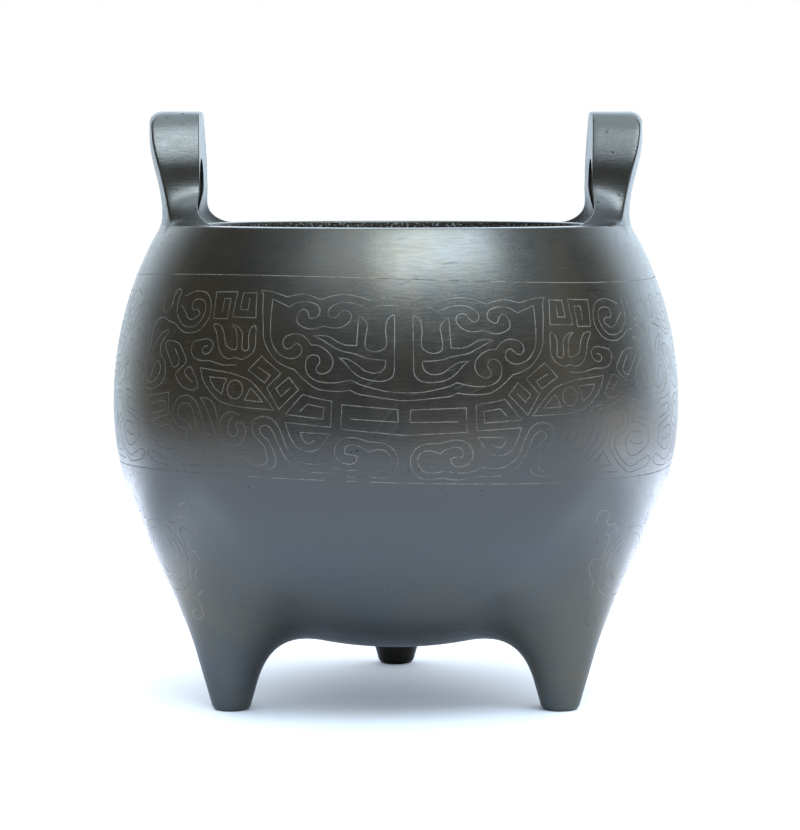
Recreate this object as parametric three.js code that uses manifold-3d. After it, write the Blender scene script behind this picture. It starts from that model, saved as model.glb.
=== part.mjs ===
// Tripod censer: cast bronze bowl, three feet and two upright ears, with inlaid silver wire.
// Millimetres, +Z up. The origin lies on the floor under the middle of the bowl.
// The front looks along -Y.
import * as THREE from 'three';
import { mergeVertices } from 'three/addons/utils/BufferGeometryUtils.js';
import Module from 'manifold-3d';

const wasm = await Module();
wasm.setup();

const degree = Math.PI / 180;
const turn = 360 * degree;

// Bowl: belly, rim and wall
const rimHeight = 163;
const rimRadius = 80.4;
const rimWidth = 11.4;
const rimRound = 0.7;
const mouthRadius = rimRadius - rimWidth;
const lipDepth = 6;
const bellySwellWidth = 16.9;
const bellyRadius = rimRadius + bellySwellWidth;
const bellyHeight = 102;
const shoulderReach = (rimHeight - bellyHeight) / Math.sqrt(1 - (rimRadius / bellyRadius) ** 2);
const bellyBottom = 17.9;
const lowerRoundPower = 2.17;
const wallThickness = 5.5;
const floorThickness = 6;

// Legs: they swell out of the belly and taper to small round feet
const legInsetWidth = 33.2;
const legCircleRadius = bellyRadius - legInsetWidth;
const legAzimuths = [210, 330, 90];
const legBlendWidth = 19.9;
const legFlareShare = 0.2745;
const legRiseShare = 0.784;
const legRiseHeight = bellyHeight * legRiseShare;
const legSwellWidth = 3.9;
const legPinchWidth = 16.4;
const steepestSlopeShare = 1.2;
const footRadius = 6.2;
const footRound = 1.2;
const footHeight = 14;
const spigotRadius = 4.6;
const spigotHeight = 9;
const jointClearance = 0.3;

// Ears: loops that stand on the rim. The inner face is nearly flat, and the outer one follows the rim.
// Their end faces look straight to the front and back, and flare out most along the mouth.
const earAzimuths = [180, 0];
const earHeight = 38.5;
const earHalfWidth = 20;
const earFootHalfWidth = 44;
const earOuterHalfWidth = 22.5;
const earOuterFootHalfWidth = 29;
const earFlareHeight = 18;
const earFlarePower = 2.2;
const earArchPower = 6;
const earNarrowWidth = 10;
const earNarrowEaseShare = 0.25;
const earOpeningHalfWidth = 10.5;
const earOpeningHeight = 22.5;
const earInsetWidth = 0.5;
const earInnerRadius = mouthRadius + earInsetWidth;
const earThickness = rimWidth - earInsetWidth;
const earLeanWidth = 2.7;
const earLeanShare = 0.35;
const earFlattenWidth = 3.8;
const earSwellWidth = 3.95;
const earSwellStartShare = 0.12;
const earSwellEndShare = 0.78;
const earEdgeRound = 0.8;
const earTopRound = 4.2;
const tenonLength = 7;
const tenonWidth = 4.5;
const tenonDepth = 6;

// Inlay: silver wire laid flush in chased grooves
const wireWidth = 0.45;
const wireDepth = 0.6;
const wireProudHeight = 0.06;
const grooveClearance = 0.06;
const borderDropHeight = 16.5;
const bandHeight = 63.8;
const upperBorderHeight = rimHeight - borderDropHeight;
const lowerBorderHeight = upperBorderHeight - bandHeight;
const inlayDriftHeight = 1.5;
const inlayDriftAngle = 60;
const maskHalfAngle = 60;
const maskAzimuths = { front: 271.6, back_right: 31.6, back_left: 151.6 };
const pupilRadius = 3;
const pupilSteps = 8;

// Outlines of the mask's wires, for its left half: shares of the half angle outwards from the middle,
// and shares of the band's height upwards from the lower border.
const cartoucheShares = [
  [0, 0.911], [0.115, 0.895], [0.188, 0.917], [0.277, 0.889], [0.337, 0.912], [0.398, 0.898],
  [0.498, 0.926], [0.482, 0.831], [0.465, 0.69], [0.417, 0.588], [0.35, 0.544], [0.308, 0.486],
  [0.237, 0.445], [0.167, 0.451], [0.098, 0.425], [0, 0.409],
];
const eyeShares = [
  [0.705, 0.534], [0.642, 0.525], [0.55, 0.505], [0.503, 0.481], [0.47, 0.439], [0.415, 0.34],
  [0.527, 0.348], [0.598, 0.364], [0.637, 0.392], [0.69, 0.478],
];
const pupilShare = [0.558, 0.434];
const noseBarShares = [
  [0, 0.238], [0.197, 0.259], [0.193, 0.379], [0.02, 0.364], [0.018, 0.303], [0.167, 0.31],
];
const bridgeKeyShares = [
  [0.475, 0.549], [0.432, 0.511], [0.45, 0.473], [0.512, 0.533], [0.467, 0.603], [0.395, 0.524],
  [0.442, 0.45], [0.398, 0.345], [0.333, 0.445], [0.367, 0.505], [0.41, 0.447], [0.392, 0.409],
  [0.362, 0.453],
];

// Facets
const roundSteps = 60;
const legArcSteps = roundSteps / legAzimuths.length;
const legArcAngle = 115;
const hollowSteps = 32;
const floorSteps = 7;
const wallSteps = 4;
const meridianSteps = 6;
const patchSteps = 7;
const patchPower = 1.15;
const ringCount = 10;
const flareSteps = 6;
const archSteps = 12;
const cylinderSides = 24;
const smallestBendShare = 0.5;
const joinShare = 0.43;
const joinHeight = footHeight + (bellyHeight - footHeight) * joinShare;
const cutOverrun = 3;
const mergeDistance = 0.001;
const probeShare = 0.0002;
const searchSteps = 48;

// The outer face of the bowl and legs is where this field is zero. Inside it is negative.
function bellyField(x, y, z) {
  const radius = Math.hypot(x, y);
  const rise = z - bellyHeight;
  const reach = rise > 0 ? shoulderReach : bellyHeight - bellyBottom;
  const power = rise > 0 ? 2 : lowerRoundPower;
  const size = (Math.abs(rise) / reach) ** power + (radius / bellyRadius) ** power;
  const scale = Math.max(size, Number.EPSILON) ** (1 / power);
  return Math.hypot(radius, rise) * (1 - 1 / scale);
}

function legField(x, y, z, azimuth) {
  const dx = x - legCircleRadius * Math.cos(azimuth);
  const dy = y - legCircleRadius * Math.sin(azimuth);
  const share = Math.max(z, 0) / legRiseHeight;
  const radius = footRadius + legFlareShare * z + legSwellWidth * share ** 2 - legPinchWidth * share ** 4;
  const slope = legFlareShare + (2 * legSwellWidth * share - 4 * legPinchWidth * share ** 3) / legRiseHeight;
  const steep = Math.min(Math.max(slope, -steepestSlopeShare), steepestSlopeShare);
  return (Math.hypot(dx, dy) - radius) / Math.hypot(1, steep);
}

function bodyField(x, y, z) {
  const belly = bellyField(x, y, z);
  const leg = Math.min(...legAzimuths.map((angle) => legField(x, y, z, angle * degree)));
  const overlap = Math.max(legBlendWidth - Math.abs(belly - leg), 0) / legBlendWidth;
  return Math.min(belly, leg) - overlap ** 2 * legBlendWidth / 4;
}

function bodyGradient(x, y, z) {
  const step = probeShare * bellyRadius;
  const gx = bodyField(x + step, y, z) - bodyField(x - step, y, z);
  const gy = bodyField(x, y + step, z) - bodyField(x, y - step, z);
  const gz = bodyField(x, y, z + step) - bodyField(x, y, z - step);
  return new THREE.Vector3(gx, gy, gz).divideScalar(2 * step);
}

// Slides a point along the field's slope until it lies on the outer face.
function settle(point) {
  const moved = point.clone();
  for (let i = 0; i < searchSteps / 4; i += 1) {
    const slope = bodyGradient(moved.x, moved.y, moved.z);
    const share = bodyField(moved.x, moved.y, moved.z) / slope.lengthSq();
    moved.addScaledVector(slope, -share);
  }
  return moved;
}

// Length of a ray from a point inside the body to the outer face.
function rayLength(start, direction, longest) {
  let near = 0;
  let far = longest;
  for (let i = 0; i < searchSteps; i += 1) {
    const middle = (near + far) / 2;
    const at = start.clone().addScaledVector(direction, middle);
    if (bodyField(at.x, at.y, at.z) < 0) {
      near = middle;
    } else {
      far = middle;
    }
  }
  return near;
}

function outward(azimuth) {
  return new THREE.Vector3(Math.cos(azimuth), Math.sin(azimuth), 0);
}

// Point of the outer face at an azimuth and a height.
function bodyPoint(azimuth, height) {
  const start = new THREE.Vector3(0, 0, height);
  const direction = outward(azimuth);
  return start.addScaledVector(direction, rayLength(start, direction, 2 * bellyRadius));
}

// Ring of points round a leg at one height.
function legRing(azimuth, height, bearings) {
  const axis = outward(azimuth).multiplyScalar(legCircleRadius).setZ(height);
  return bearings.map((bearing) => {
    const direction = outward(azimuth + bearing);
    return axis.clone().addScaledVector(direction, rayLength(axis, direction, legCircleRadius / 2));
  });
}

// Bearings round a leg, closer together towards the middle of the bowl.
function legBearings() {
  const side = legArcAngle * degree;
  const bearings = [];
  for (let i = 0; i < legArcSteps; i += 1) {
    bearings.push(-side + 2 * side * i / legArcSteps);
  }
  for (let i = 0; i < 2 * meridianSteps; i += 1) {
    bearings.push(side + (turn - 2 * side) * i / (2 * meridianSteps));
  }
  return bearings;
}

// Points from the joining ring down to the middle of the underside, at one azimuth.
function meridian(azimuth) {
  const top = bodyPoint(azimuth, joinHeight);
  const middle = new THREE.Vector3(0, 0, bellyHeight);
  const first = Math.atan2(bellyHeight - joinHeight, Math.hypot(top.x, top.y));
  const points = [top];
  for (let i = 1; i <= meridianSteps; i += 1) {
    const dip = first + (turn / 4 - first) * i / meridianSteps;
    const direction = outward(azimuth).multiplyScalar(Math.cos(dip)).setZ(-Math.sin(dip));
    points.push(middle.clone().addScaledVector(direction, rayLength(middle, direction, 2 * bellyRadius)));
  }
  return points;
}

function gridTriangles(rows, closed) {
  const soup = [];
  for (let i = 0; i + 1 < rows.length; i += 1) {
    const count = rows[i].length;
    for (let j = 0; j < (closed ? count : count - 1); j += 1) {
      const next = (j + 1) % count;
      soup.push(rows[i][j], rows[i][next], rows[i + 1][next]);
      soup.push(rows[i][j], rows[i + 1][next], rows[i + 1][j]);
    }
  }
  return soup;
}

function fanTriangles(centre, ring) {
  return ring.flatMap((point, j) => [centre, point, ring[(j + 1) % ring.length]]);
}

function soupGeometry(soup) {
  return new THREE.BufferGeometry().setFromPoints(soup);
}

// A closed geometry as a solid, turned right side out if need be.
function toSolid(geometry) {
  const bare = geometry.clone();
  bare.deleteAttribute('normal');
  bare.deleteAttribute('uv');
  const merged = mergeVertices(bare, mergeDistance);
  const corners = merged.index.array;
  const kept = [];
  for (let i = 0; i < corners.length; i += 3) {
    const [a, b, c] = [corners[i], corners[i + 1], corners[i + 2]];
    if (a !== b && b !== c && c !== a) {
      kept.push(a, b, c);
    }
  }
  const build = (triVerts) => new wasm.Manifold(new wasm.Mesh({
    numProp: 3,
    vertProperties: new Float32Array(merged.attributes.position.array),
    triVerts: new Uint32Array(triVerts),
  }));
  const solid = build(kept);
  return solid.volume() > 0 ? solid : build(kept.reverse());
}

function toGeometry(solid) {
  const mesh = solid.getMesh();
  const geometry = new THREE.BufferGeometry();
  geometry.setAttribute('position', new THREE.BufferAttribute(new Float32Array(mesh.vertProperties), 3));
  geometry.setIndex(new THREE.BufferAttribute(new Uint32Array(mesh.triVerts), 1));
  geometry.computeVertexNormals();
  return geometry;
}

function uprightCylinder(radius, bottom, top, x, y) {
  const geometry = new THREE.CylinderGeometry(radius, radius, top - bottom, cylinderSides);
  geometry.rotateX(turn / 4);
  geometry.translate(x, y, (bottom + top) / 2);
  return toSolid(geometry);
}

// Closed outer skin: rings from the rim to the joining height, then a patch round each leg.
function outerSkin() {
  const first = legAzimuths[2] * degree;
  const azimuths = Array.from({ length: roundSteps }, (_, i) => first + turn * i / roundSteps);
  const top = rimHeight - rimRound;
  const heights = Array.from({ length: ringCount + 1 }, (_, i) => top + (joinHeight - top) * i / ringCount);
  const rings = heights.map((height) => azimuths.map((azimuth) => bodyPoint(azimuth, height)));
  const edge = azimuths.map((azimuth) => {
    const point = bodyPoint(azimuth, rimHeight);
    return point.addScaledVector(outward(azimuth), -rimRound);
  });
  rings.unshift(edge);
  const soup = gridTriangles(rings, true);
  soup.push(...fanTriangles(new THREE.Vector3(0, 0, rimHeight), [...edge].reverse()));
  legAzimuths.forEach((angle) => soup.push(...legPatch(angle * degree)));
  return toSolid(soupGeometry(soup));
}

function legPatch(azimuth) {
  const half = turn / (2 * legAzimuths.length);
  const arc = Array.from({ length: legArcSteps }, (_, i) => {
    return bodyPoint(azimuth - half + 2 * half * i / legArcSteps, joinHeight);
  });
  const right = meridian(azimuth + half);
  const left = meridian(azimuth - half).reverse();
  const loop = [...arc, ...right.slice(0, -1), ...left.slice(0, -1)];
  const ring = legRing(azimuth, footHeight, legBearings());
  const rows = [];
  for (let i = 0; i <= patchSteps; i += 1) {
    const share = (i / patchSteps) ** patchPower;
    const row = ring.map((point, j) => point.clone().lerp(loop[j], share));
    rows.push(i > 0 && i < patchSteps ? row.map(settle) : row);
  }
  const middle = outward(azimuth).multiplyScalar(legCircleRadius).setZ(footHeight);
  const soup = gridTriangles(rows.reverse(), true);
  soup.push(...fanTriangles(middle, rows[patchSteps]));
  return soup;
}

// Hollow of the bowl: the belly's curve set in by the wall, drawn in to a thick lip.
function hollow() {
  const radius = bellyRadius - wallThickness;
  const depth = bellyHeight - bellyBottom - floorThickness;
  const lipBase = rimHeight - lipDepth;
  const reach = (lipBase - bellyHeight) / Math.sqrt(1 - (mouthRadius / radius) ** 2);
  const profile = [new THREE.Vector2(0, bellyHeight - depth)];
  for (let i = 1; i < floorSteps; i += 1) {
    const dip = turn / 4 * (1 - i / floorSteps);
    const out = Math.cos(dip) ** (2 / lowerRoundPower);
    const down = Math.sin(dip) ** (2 / lowerRoundPower);
    profile.push(new THREE.Vector2(radius * out, bellyHeight - depth * down));
  }
  for (let i = 0; i <= wallSteps; i += 1) {
    const height = bellyHeight + (lipBase - bellyHeight) * i / wallSteps;
    const share = (height - bellyHeight) / reach;
    profile.push(new THREE.Vector2(radius * Math.sqrt(1 - share ** 2), height));
  }
  profile.push(new THREE.Vector2(mouthRadius, rimHeight + cutOverrun));
  profile.push(new THREE.Vector2(0, rimHeight + cutOverrun));
  const geometry = new THREE.LatheGeometry(profile, hollowSteps);
  geometry.rotateX(turn / 4);
  return toSolid(geometry);
}

// One foot, modelled on the leg at azimuth 0, with the spigot that plugs into the bowl.
function footGeometry() {
  const shares = [0, 1 / 2, 1];
  const rings = shares.map((share) => {
    const height = footRound + (footHeight - footRound) * share;
    return legRing(legAzimuths[2] * degree, height, legBearings());
  });
  const sole = legRing(legAzimuths[2] * degree, 0, legBearings());
  const middle = outward(legAzimuths[2] * degree).multiplyScalar(legCircleRadius);
  const edge = sole.map((point) => {
    const inset = middle.clone().sub(point).setLength(footRound);
    return point.add(inset).setZ(0);
  });
  const rows = [edge, ...rings];
  const soup = gridTriangles(rows, true);
  soup.push(...fanTriangles(middle.clone().setZ(0), [...edge].reverse()));
  soup.push(...fanTriangles(middle.clone().setZ(footHeight), rings[rings.length - 1]));
  const foot = toSolid(soupGeometry(soup));
  const top = footHeight + spigotHeight;
  return toGeometry(foot.add(uprightCylinder(spigotRadius, footHeight / 2, top, middle.x, middle.y)));
}

const rimMiddle = earInnerRadius + earThickness / 2;

// Places a point of an ear: distance from its middle plane, distance from the bowl's axis, and height.
function earPoint(along, radius, height) {
  return new THREE.Vector3(Math.sqrt(radius ** 2 - along ** 2), along, height);
}

// 0 below a share of 0, 1 above a share of 1, and a soft step between them.
function softStep(share) {
  const held = Math.min(Math.max(share, 0), 1);
  return held * held * (3 - 2 * held);
}

// Distances of the ear's inner and outer faces from the bowl's axis.
function earFaces(along, up) {
  const rise = up / earHeight;
  const flatten = 1 - (1 - Math.min(Math.abs(along) / earFootHalfWidth, 1) ** 2) ** 4;
  const swell = softStep((rise - earSwellStartShare) / (earSwellEndShare - earSwellStartShare));
  return [
    earInnerRadius + earFlattenWidth * flatten - earLeanWidth * softStep(rise / earLeanShare),
    earInnerRadius + earThickness + earSwellWidth * swell,
  ];
}

// The ear's outline as rows of (opening, its height, inner edge, outer edge, their height).
// Heights are over the rim. The edges flare out to the rim below, and are a squarish arch above.
function earOutline() {
  const openingSpring = earOpeningHeight - earOpeningHalfWidth;
  const archHeight = earHeight - earFlareHeight;
  const rows = [];
  for (let i = 0; i < flareSteps; i += 1) {
    const share = i / flareSteps;
    const fall = (1 - share) ** earFlarePower;
    const inner = earHalfWidth + (earFootHalfWidth - earHalfWidth) * fall;
    const outer = earOuterHalfWidth + (earOuterFootHalfWidth - earOuterHalfWidth) * fall;
    rows.push([earOpeningHalfWidth, openingSpring * share, inner, outer, earFlareHeight * share]);
  }
  for (let i = 0; i <= archSteps; i += 1) {
    const angle = turn / 2 * i / archSteps;
    const across = Math.cos(angle);
    const rise = Math.max(Math.sin(angle), 0);
    const size = (Math.abs(across) ** earArchPower + rise ** earArchPower) ** (1 / earArchPower);
    const narrow = earNarrowWidth * (Math.hypot(rise / size, earNarrowEaseShare) - earNarrowEaseShare);
    rows.push([
      earOpeningHalfWidth * across,
      openingSpring + earOpeningHalfWidth * rise,
      (earHalfWidth - narrow) * across / size,
      (earOuterHalfWidth - narrow) * across / size,
      earFlareHeight + archHeight * rise / size,
    ]);
  }
  for (let i = flareSteps - 1; i >= 0; i -= 1) {
    const [opening, openingUp, inner, outer, up] = rows[i];
    rows.push([-opening, openingUp, -inner, -outer, up]);
  }
  return rows;
}

// An ear as a loft between its opening and its outer edge, with tenons under both ends.
// Its edges are bevelled, the outer one of the arch most.
function earGeometry() {
  const rows = earOutline().map(([opening, openingUp, inner, outer, edgeUp]) => {
    const crown = softStep((edgeUp - earFlareHeight) / (earHeight - earFlareHeight));
    const crownRound = earEdgeRound + (earTopRound - earEdgeRound) * crown;
    const side = (outside, edge, round) => {
      const span = Math.hypot(edge - opening, edgeUp - openingUp);
      const shares = [0, earEdgeRound / span, 1 / 3, 2 / 3, 1 - round / span, 1];
      const bevels = [earEdgeRound, 0, 0, 0, 0, round];
      return shares.map((share, i) => {
        const along = opening + (edge - opening) * share;
        const up = openingUp + (edgeUp - openingUp) * share;
        const [near, far] = earFaces(along, up);
        return earPoint(along, outside ? far - bevels[i] : near + bevels[i], rimHeight + up);
      });
    };
    return [...side(false, inner, earEdgeRound), ...side(true, outer, crownRound).reverse()];
  });
  const soup = gridTriangles(rows, true);
  [rows[0], rows[rows.length - 1]].forEach((row, end) => {
    const count = row.length;
    for (let j = 0; j + 1 < count / 2; j += 1) {
      const quad = [row[j], row[j + 1], row[count - 2 - j], row[count - 1 - j]];
      const [a, b, c, d] = end === 0 ? quad.reverse() : quad;
      soup.push(a, b, c, a, c, d);
    }
  });
  let ear = toSolid(soupGeometry(soup));
  [-1, 1].forEach((side) => {
    ear = ear.add(tenon(side, 0));
  });
  return toGeometry(ear);
}

// A tenon under one end of an ear at azimuth 0, or with a clearance the mortise that takes it.
function tenon(side, clearance) {
  const up = clearance > 0 ? cutOverrun : earEdgeRound;
  const height = tenonDepth + clearance + up;
  const geometry = new THREE.BoxGeometry(tenonWidth + 2 * clearance, tenonLength + 2 * clearance, height);
  const azimuth = side * (earOpeningHalfWidth + earHalfWidth) / (2 * rimMiddle);
  geometry.translate(rimMiddle, 0, rimHeight + up - height / 2);
  geometry.rotateZ(azimuth);
  return toSolid(geometry);
}

// Height of the inlay, which strays a little from level round the bowl as it was laid by eye.
function driftedHeight(azimuth, height) {
  return height + inlayDriftHeight * Math.cos(2 * (azimuth - inlayDriftAngle * degree));
}

// A wire with a flat top and a wedge below, along places on the outer face.
// The groove that takes it is the same wedge, set out by the clearance and carried up past the face.
function wireGeometry(places, closed, groove) {
  const points = places.map(([azimuth, height]) => bodyPoint(azimuth, driftedHeight(azimuth, height)));
  const count = points.length;
  const taper = wireWidth / 2 / (wireDepth + wireProudHeight);
  const spread = groove ? grooveClearance * Math.hypot(1, taper) : 0;
  const low = wireDepth + spread / taper;
  const high = groove ? wireDepth : wireProudHeight;
  const half = taper * (high + low);
  const rows = points.map((point, i) => {
    const before = points[closed || i > 0 ? (i + count - 1) % count : i];
    const after = points[closed || i + 1 < count ? (i + 1) % count : i];
    const normal = bodyGradient(point.x, point.y, point.z).normalize();
    const into = point.clone().sub(before).normalize();
    const out = after.clone().sub(point).normalize();
    const tangent = into.clone().add(out).normalize();
    const side = new THREE.Vector3().crossVectors(normal, tangent).normalize();
    const bend = Math.max(tangent.dot(before === point ? out : into), smallestBendShare);
    const reach = half / bend;
    const overrun = groove && !closed && (before === point || after === point) ? spread : 0;
    const end = point.clone().addScaledVector(tangent, before === point ? -overrun : overrun);
    const corner = (across, up) => end.clone().addScaledVector(side, across).addScaledVector(normal, up);
    return [corner(0, -low), corner(reach, high), corner(-reach, high)];
  });
  if (closed) {
    rows.push(rows[0]);
  }
  const soup = gridTriangles(rows, true);
  if (!closed) {
    soup.push(...[...rows[0]].reverse(), ...rows[count - 1]);
  }
  return toGeometry(toSolid(soupGeometry(soup)));
}

function borderPlaces(height) {
  return Array.from({ length: roundSteps }, (_, i) => [turn * i / roundSteps, height]);
}

// A whole outline from its left half, whose ends lie on the middle line.
function bothHalves(shares) {
  const other = shares.slice(1, -1).reverse().map(([across, up]) => [-across, up]);
  return [...shares, ...other];
}

// Places on a mask from its shares. A side of 1 keeps the left half, and -1 mirrors it to the right.
function maskPlaces(shares, azimuth, side) {
  return shares.map(([across, up]) => [
    (azimuth - side * across * maskHalfAngle) * degree,
    lowerBorderHeight + up * bandHeight,
  ]);
}

function pupilPlaces(azimuth, side) {
  const [[across, height]] = maskPlaces([pupilShare], azimuth, side);
  return Array.from({ length: pupilSteps }, (_, i) => {
    const angle = turn * i / pupilSteps;
    return [across + pupilRadius * Math.cos(angle) / bellyRadius, height + pupilRadius * Math.sin(angle)];
  });
}

function maskWires(label, azimuth) {
  const mirrored = noseBarShares.slice(1).reverse().map(([across, up]) => [-across, up]);
  const noseBar = [...mirrored, ...noseBarShares];
  const found = [
    { name: 'cartouche', places: maskPlaces(bothHalves(cartoucheShares), azimuth, 1), closed: true },
    { name: 'nose_bar', places: maskPlaces(noseBar, azimuth, 1), closed: false },
  ];
  Object.entries({ left: 1, right: -1 }).forEach(([word, side]) => {
    const key = maskPlaces(bridgeKeyShares, azimuth, side);
    found.push({ name: `eye_${word}`, places: maskPlaces(eyeShares, azimuth, side), closed: true });
    found.push({ name: `pupil_${word}`, places: pupilPlaces(azimuth, side), closed: true });
    found.push({ name: `bridge_key_${word}`, places: key, closed: false });
  });
  return found.map((wire) => ({ ...wire, name: `mask_${label}_${wire.name}` }));
}

const wires = [
  { name: 'border_wire_upper', places: borderPlaces(upperBorderHeight), closed: true },
  { name: 'border_wire_lower', places: borderPlaces(lowerBorderHeight), closed: true },
  ...Object.entries(maskAzimuths).flatMap(([label, azimuth]) => maskWires(label, azimuth)),
];

function bowlGeometry() {
  let bowl = outerSkin().subtract(hollow());
  legAzimuths.forEach((angle) => {
    const at = outward(angle * degree).multiplyScalar(legCircleRadius);
    const top = footHeight + spigotHeight + jointClearance;
    const socket = uprightCylinder(spigotRadius + jointClearance, footHeight - cutOverrun, top, at.x, at.y);
    bowl = bowl.subtract(socket);
  });
  earAzimuths.forEach((angle) => {
    [-1, 1].forEach((side) => {
      bowl = bowl.subtract(tenon(side, jointClearance).rotate([0, 0, angle]));
    });
  });
  wires.forEach((wire) => {
    bowl = bowl.subtract(toSolid(wireGeometry(wire.places, wire.closed, true)));
  });
  return toGeometry(bowl);
}

function finish(color, roughness, metalness) {
  return new THREE.MeshStandardMaterial({ color, roughness, metalness });
}

const censer = new THREE.Group();

function place(name, geometry, material, azimuth = 0) {
  const mesh = new THREE.Mesh(geometry, material);
  mesh.name = name;
  mesh.rotation.z = azimuth * degree;
  censer.add(mesh);
}

place('bowl', bowlGeometry(), finish(0x3a332b, 0.3, 1));
const foot = footGeometry();
['front_left', 'front_right', 'back'].forEach((label, i) => {
  place(`foot_${label}`, foot, finish(0x42362a, 0.32, 1), legAzimuths[i] - legAzimuths[2]);
});
const ear = earGeometry();
['ear_left', 'ear_right'].forEach((name, i) => place(name, ear, finish(0x3b3630, 0.34, 1), earAzimuths[i]));
wires.forEach((wire) => {
  place(wire.name, wireGeometry(wire.places, wire.closed, false), finish(0xb9b3a3, 0.3, 1));
});

export default censer;
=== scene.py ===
import bmesh
import bpy
import numpy as np
from mathutils import Euler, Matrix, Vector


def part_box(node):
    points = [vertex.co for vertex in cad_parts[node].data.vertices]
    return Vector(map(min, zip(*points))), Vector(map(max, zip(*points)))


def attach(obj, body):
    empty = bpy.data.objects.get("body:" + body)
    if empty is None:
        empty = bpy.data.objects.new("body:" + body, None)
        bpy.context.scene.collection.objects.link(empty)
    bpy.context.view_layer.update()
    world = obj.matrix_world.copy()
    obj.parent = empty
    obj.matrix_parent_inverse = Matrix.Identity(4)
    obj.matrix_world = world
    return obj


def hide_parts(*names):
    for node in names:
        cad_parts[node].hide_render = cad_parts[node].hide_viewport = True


bl_info = {
    "name": "Tripod Censer",
    "version": (1, 0, 0),
    "blender": (4, 5, 0),
    "location": "View3D > Sidebar > Censer",
    "description": "A bronze tripod censer with silver wire inlay, built round its frame",
    "category": "Add Mesh",
}

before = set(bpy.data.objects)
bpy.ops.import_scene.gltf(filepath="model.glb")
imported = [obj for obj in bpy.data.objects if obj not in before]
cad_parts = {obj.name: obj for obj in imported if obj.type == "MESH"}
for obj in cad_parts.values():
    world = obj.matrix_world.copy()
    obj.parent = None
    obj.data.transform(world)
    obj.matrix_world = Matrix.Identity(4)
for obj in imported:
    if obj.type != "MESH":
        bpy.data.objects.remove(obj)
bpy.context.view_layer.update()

MM = 0.001
BOWL_LOW, BOWL_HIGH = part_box("bowl")
EAR_LOW, EAR_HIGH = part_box("ear_right")
LEG_AZIMUTHS = np.radians([210.0, 330.0, 90.0])
FOOT_NAMES = ("foot_front_left", "foot_front_right", "foot_back")
EAR_AZIMUTHS = {"ear_left": np.pi, "ear_right": 0.0}
MASK_AZIMUTHS = {"front": 271.6, "back_right": 31.6, "back_left": 151.6}

# Points round the bowl's rings. A patch over each leg takes a third of them, and more down its sides.
LEG_STEPS = 128
BOWL_STEPS = len(LEG_AZIMUTHS) * LEG_STEPS
MERIDIAN_STEPS = 40
PATCH_TOP = 52 * MM
RIM_BAND = 6 * MM
RIM_LEAN = 0.61  # growth of the shoulder's radius with each millimetre down, at the rim
STEEPEST_LEG = 1.2  # slope up to which a leg's field is evened out
HALVINGS = 44  # rounds that find the outer face on a ray

# An ear: the power of its flare and of its arch's superellipse, and where its top edge starts to round.
FLARE_POWER = 2.7
ARCH_POWER = 6
CROWN_START = 0.86

# A wire's section, in shares of its height over the bronze and of its half width, and its sharpest mitre.
EDGE_HEIGHT = 0.35
CROWN_WIDTH = 0.55
MITRE = 0.55
WIRE_SHARP = 50.0  # degrees, past which an edge isn't smoothed
WIRE_WELD = 1e-6
SPAN_STEPS = 8  # points from one point of a smooth path to the next
BORDER_STEP = 1.5  # length of a border wire's sections, in steps of the other wires

WHITE = (1.0, 1.0, 1.0, 1.0)
# Near-black painted shade for the back foot and the film under the bowl.
PAINTED_SHADE = (0.012, 0.011, 0.010, 1.0)
PIT_SHADE = (0.006, 0.005, 0.004, 1.0)
PALE_SPECKLE = (0.42, 0.44, 0.45, 1.0)
DARK_LUMP = (0.055, 0.055, 0.055, 1.0)
# Darker, cooler paper colour seen only in reflections: painted shade in what the metal reflects.
PAPER_IN_REFLECTIONS = (0.48, 0.58, 0.72, 1.0)

# The studio, in metres: each lamp has its place, aim, size, power in watts and colour.
FLOOR_RADIUS = 6.0
HALO = (0.2, -0.55, 0.81)
CAMERA_PLACE = (1.4 * MM, -1017.75 * MM, 180.5 * MM)
CAMERA_DIP = 4.69  # degrees below level
CAMERA_LENS = 127.95  # millimetres, on a sensor 36 mm wide
LAMPS = {
    "key_softbox": ((0.43, -1.0, 1.52), (0.0, 0.0, 0.14), (1.35, 0.62), 20.0, (0.79, 0.90, 1.0)),
    "left_softbox": ((-0.62, -0.95, 1.45), (0.0, 0.0, 0.16), (0.6, 0.62), 1.6, (0.80, 0.90, 1.0)),
    "side_panel": ((1.7, -0.55, 0.65), (0.0, 0.0, 0.1), (0.6, 1.1), 0.6, (1.0, 0.97, 0.9)),
}


def length_setting(name, description, default):
    """A length that the user can change in the sidebar."""
    return bpy.props.FloatProperty(
        name=name, description=description, default=float(default), precision=5, unit="LENGTH"
    )


def colour_setting(name, description, default):
    """A colour that the user can change in the sidebar."""
    return bpy.props.FloatVectorProperty(
        name=name, description=description, default=default, size=3, subtype="COLOR", min=0.0, max=1.0
    )


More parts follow.
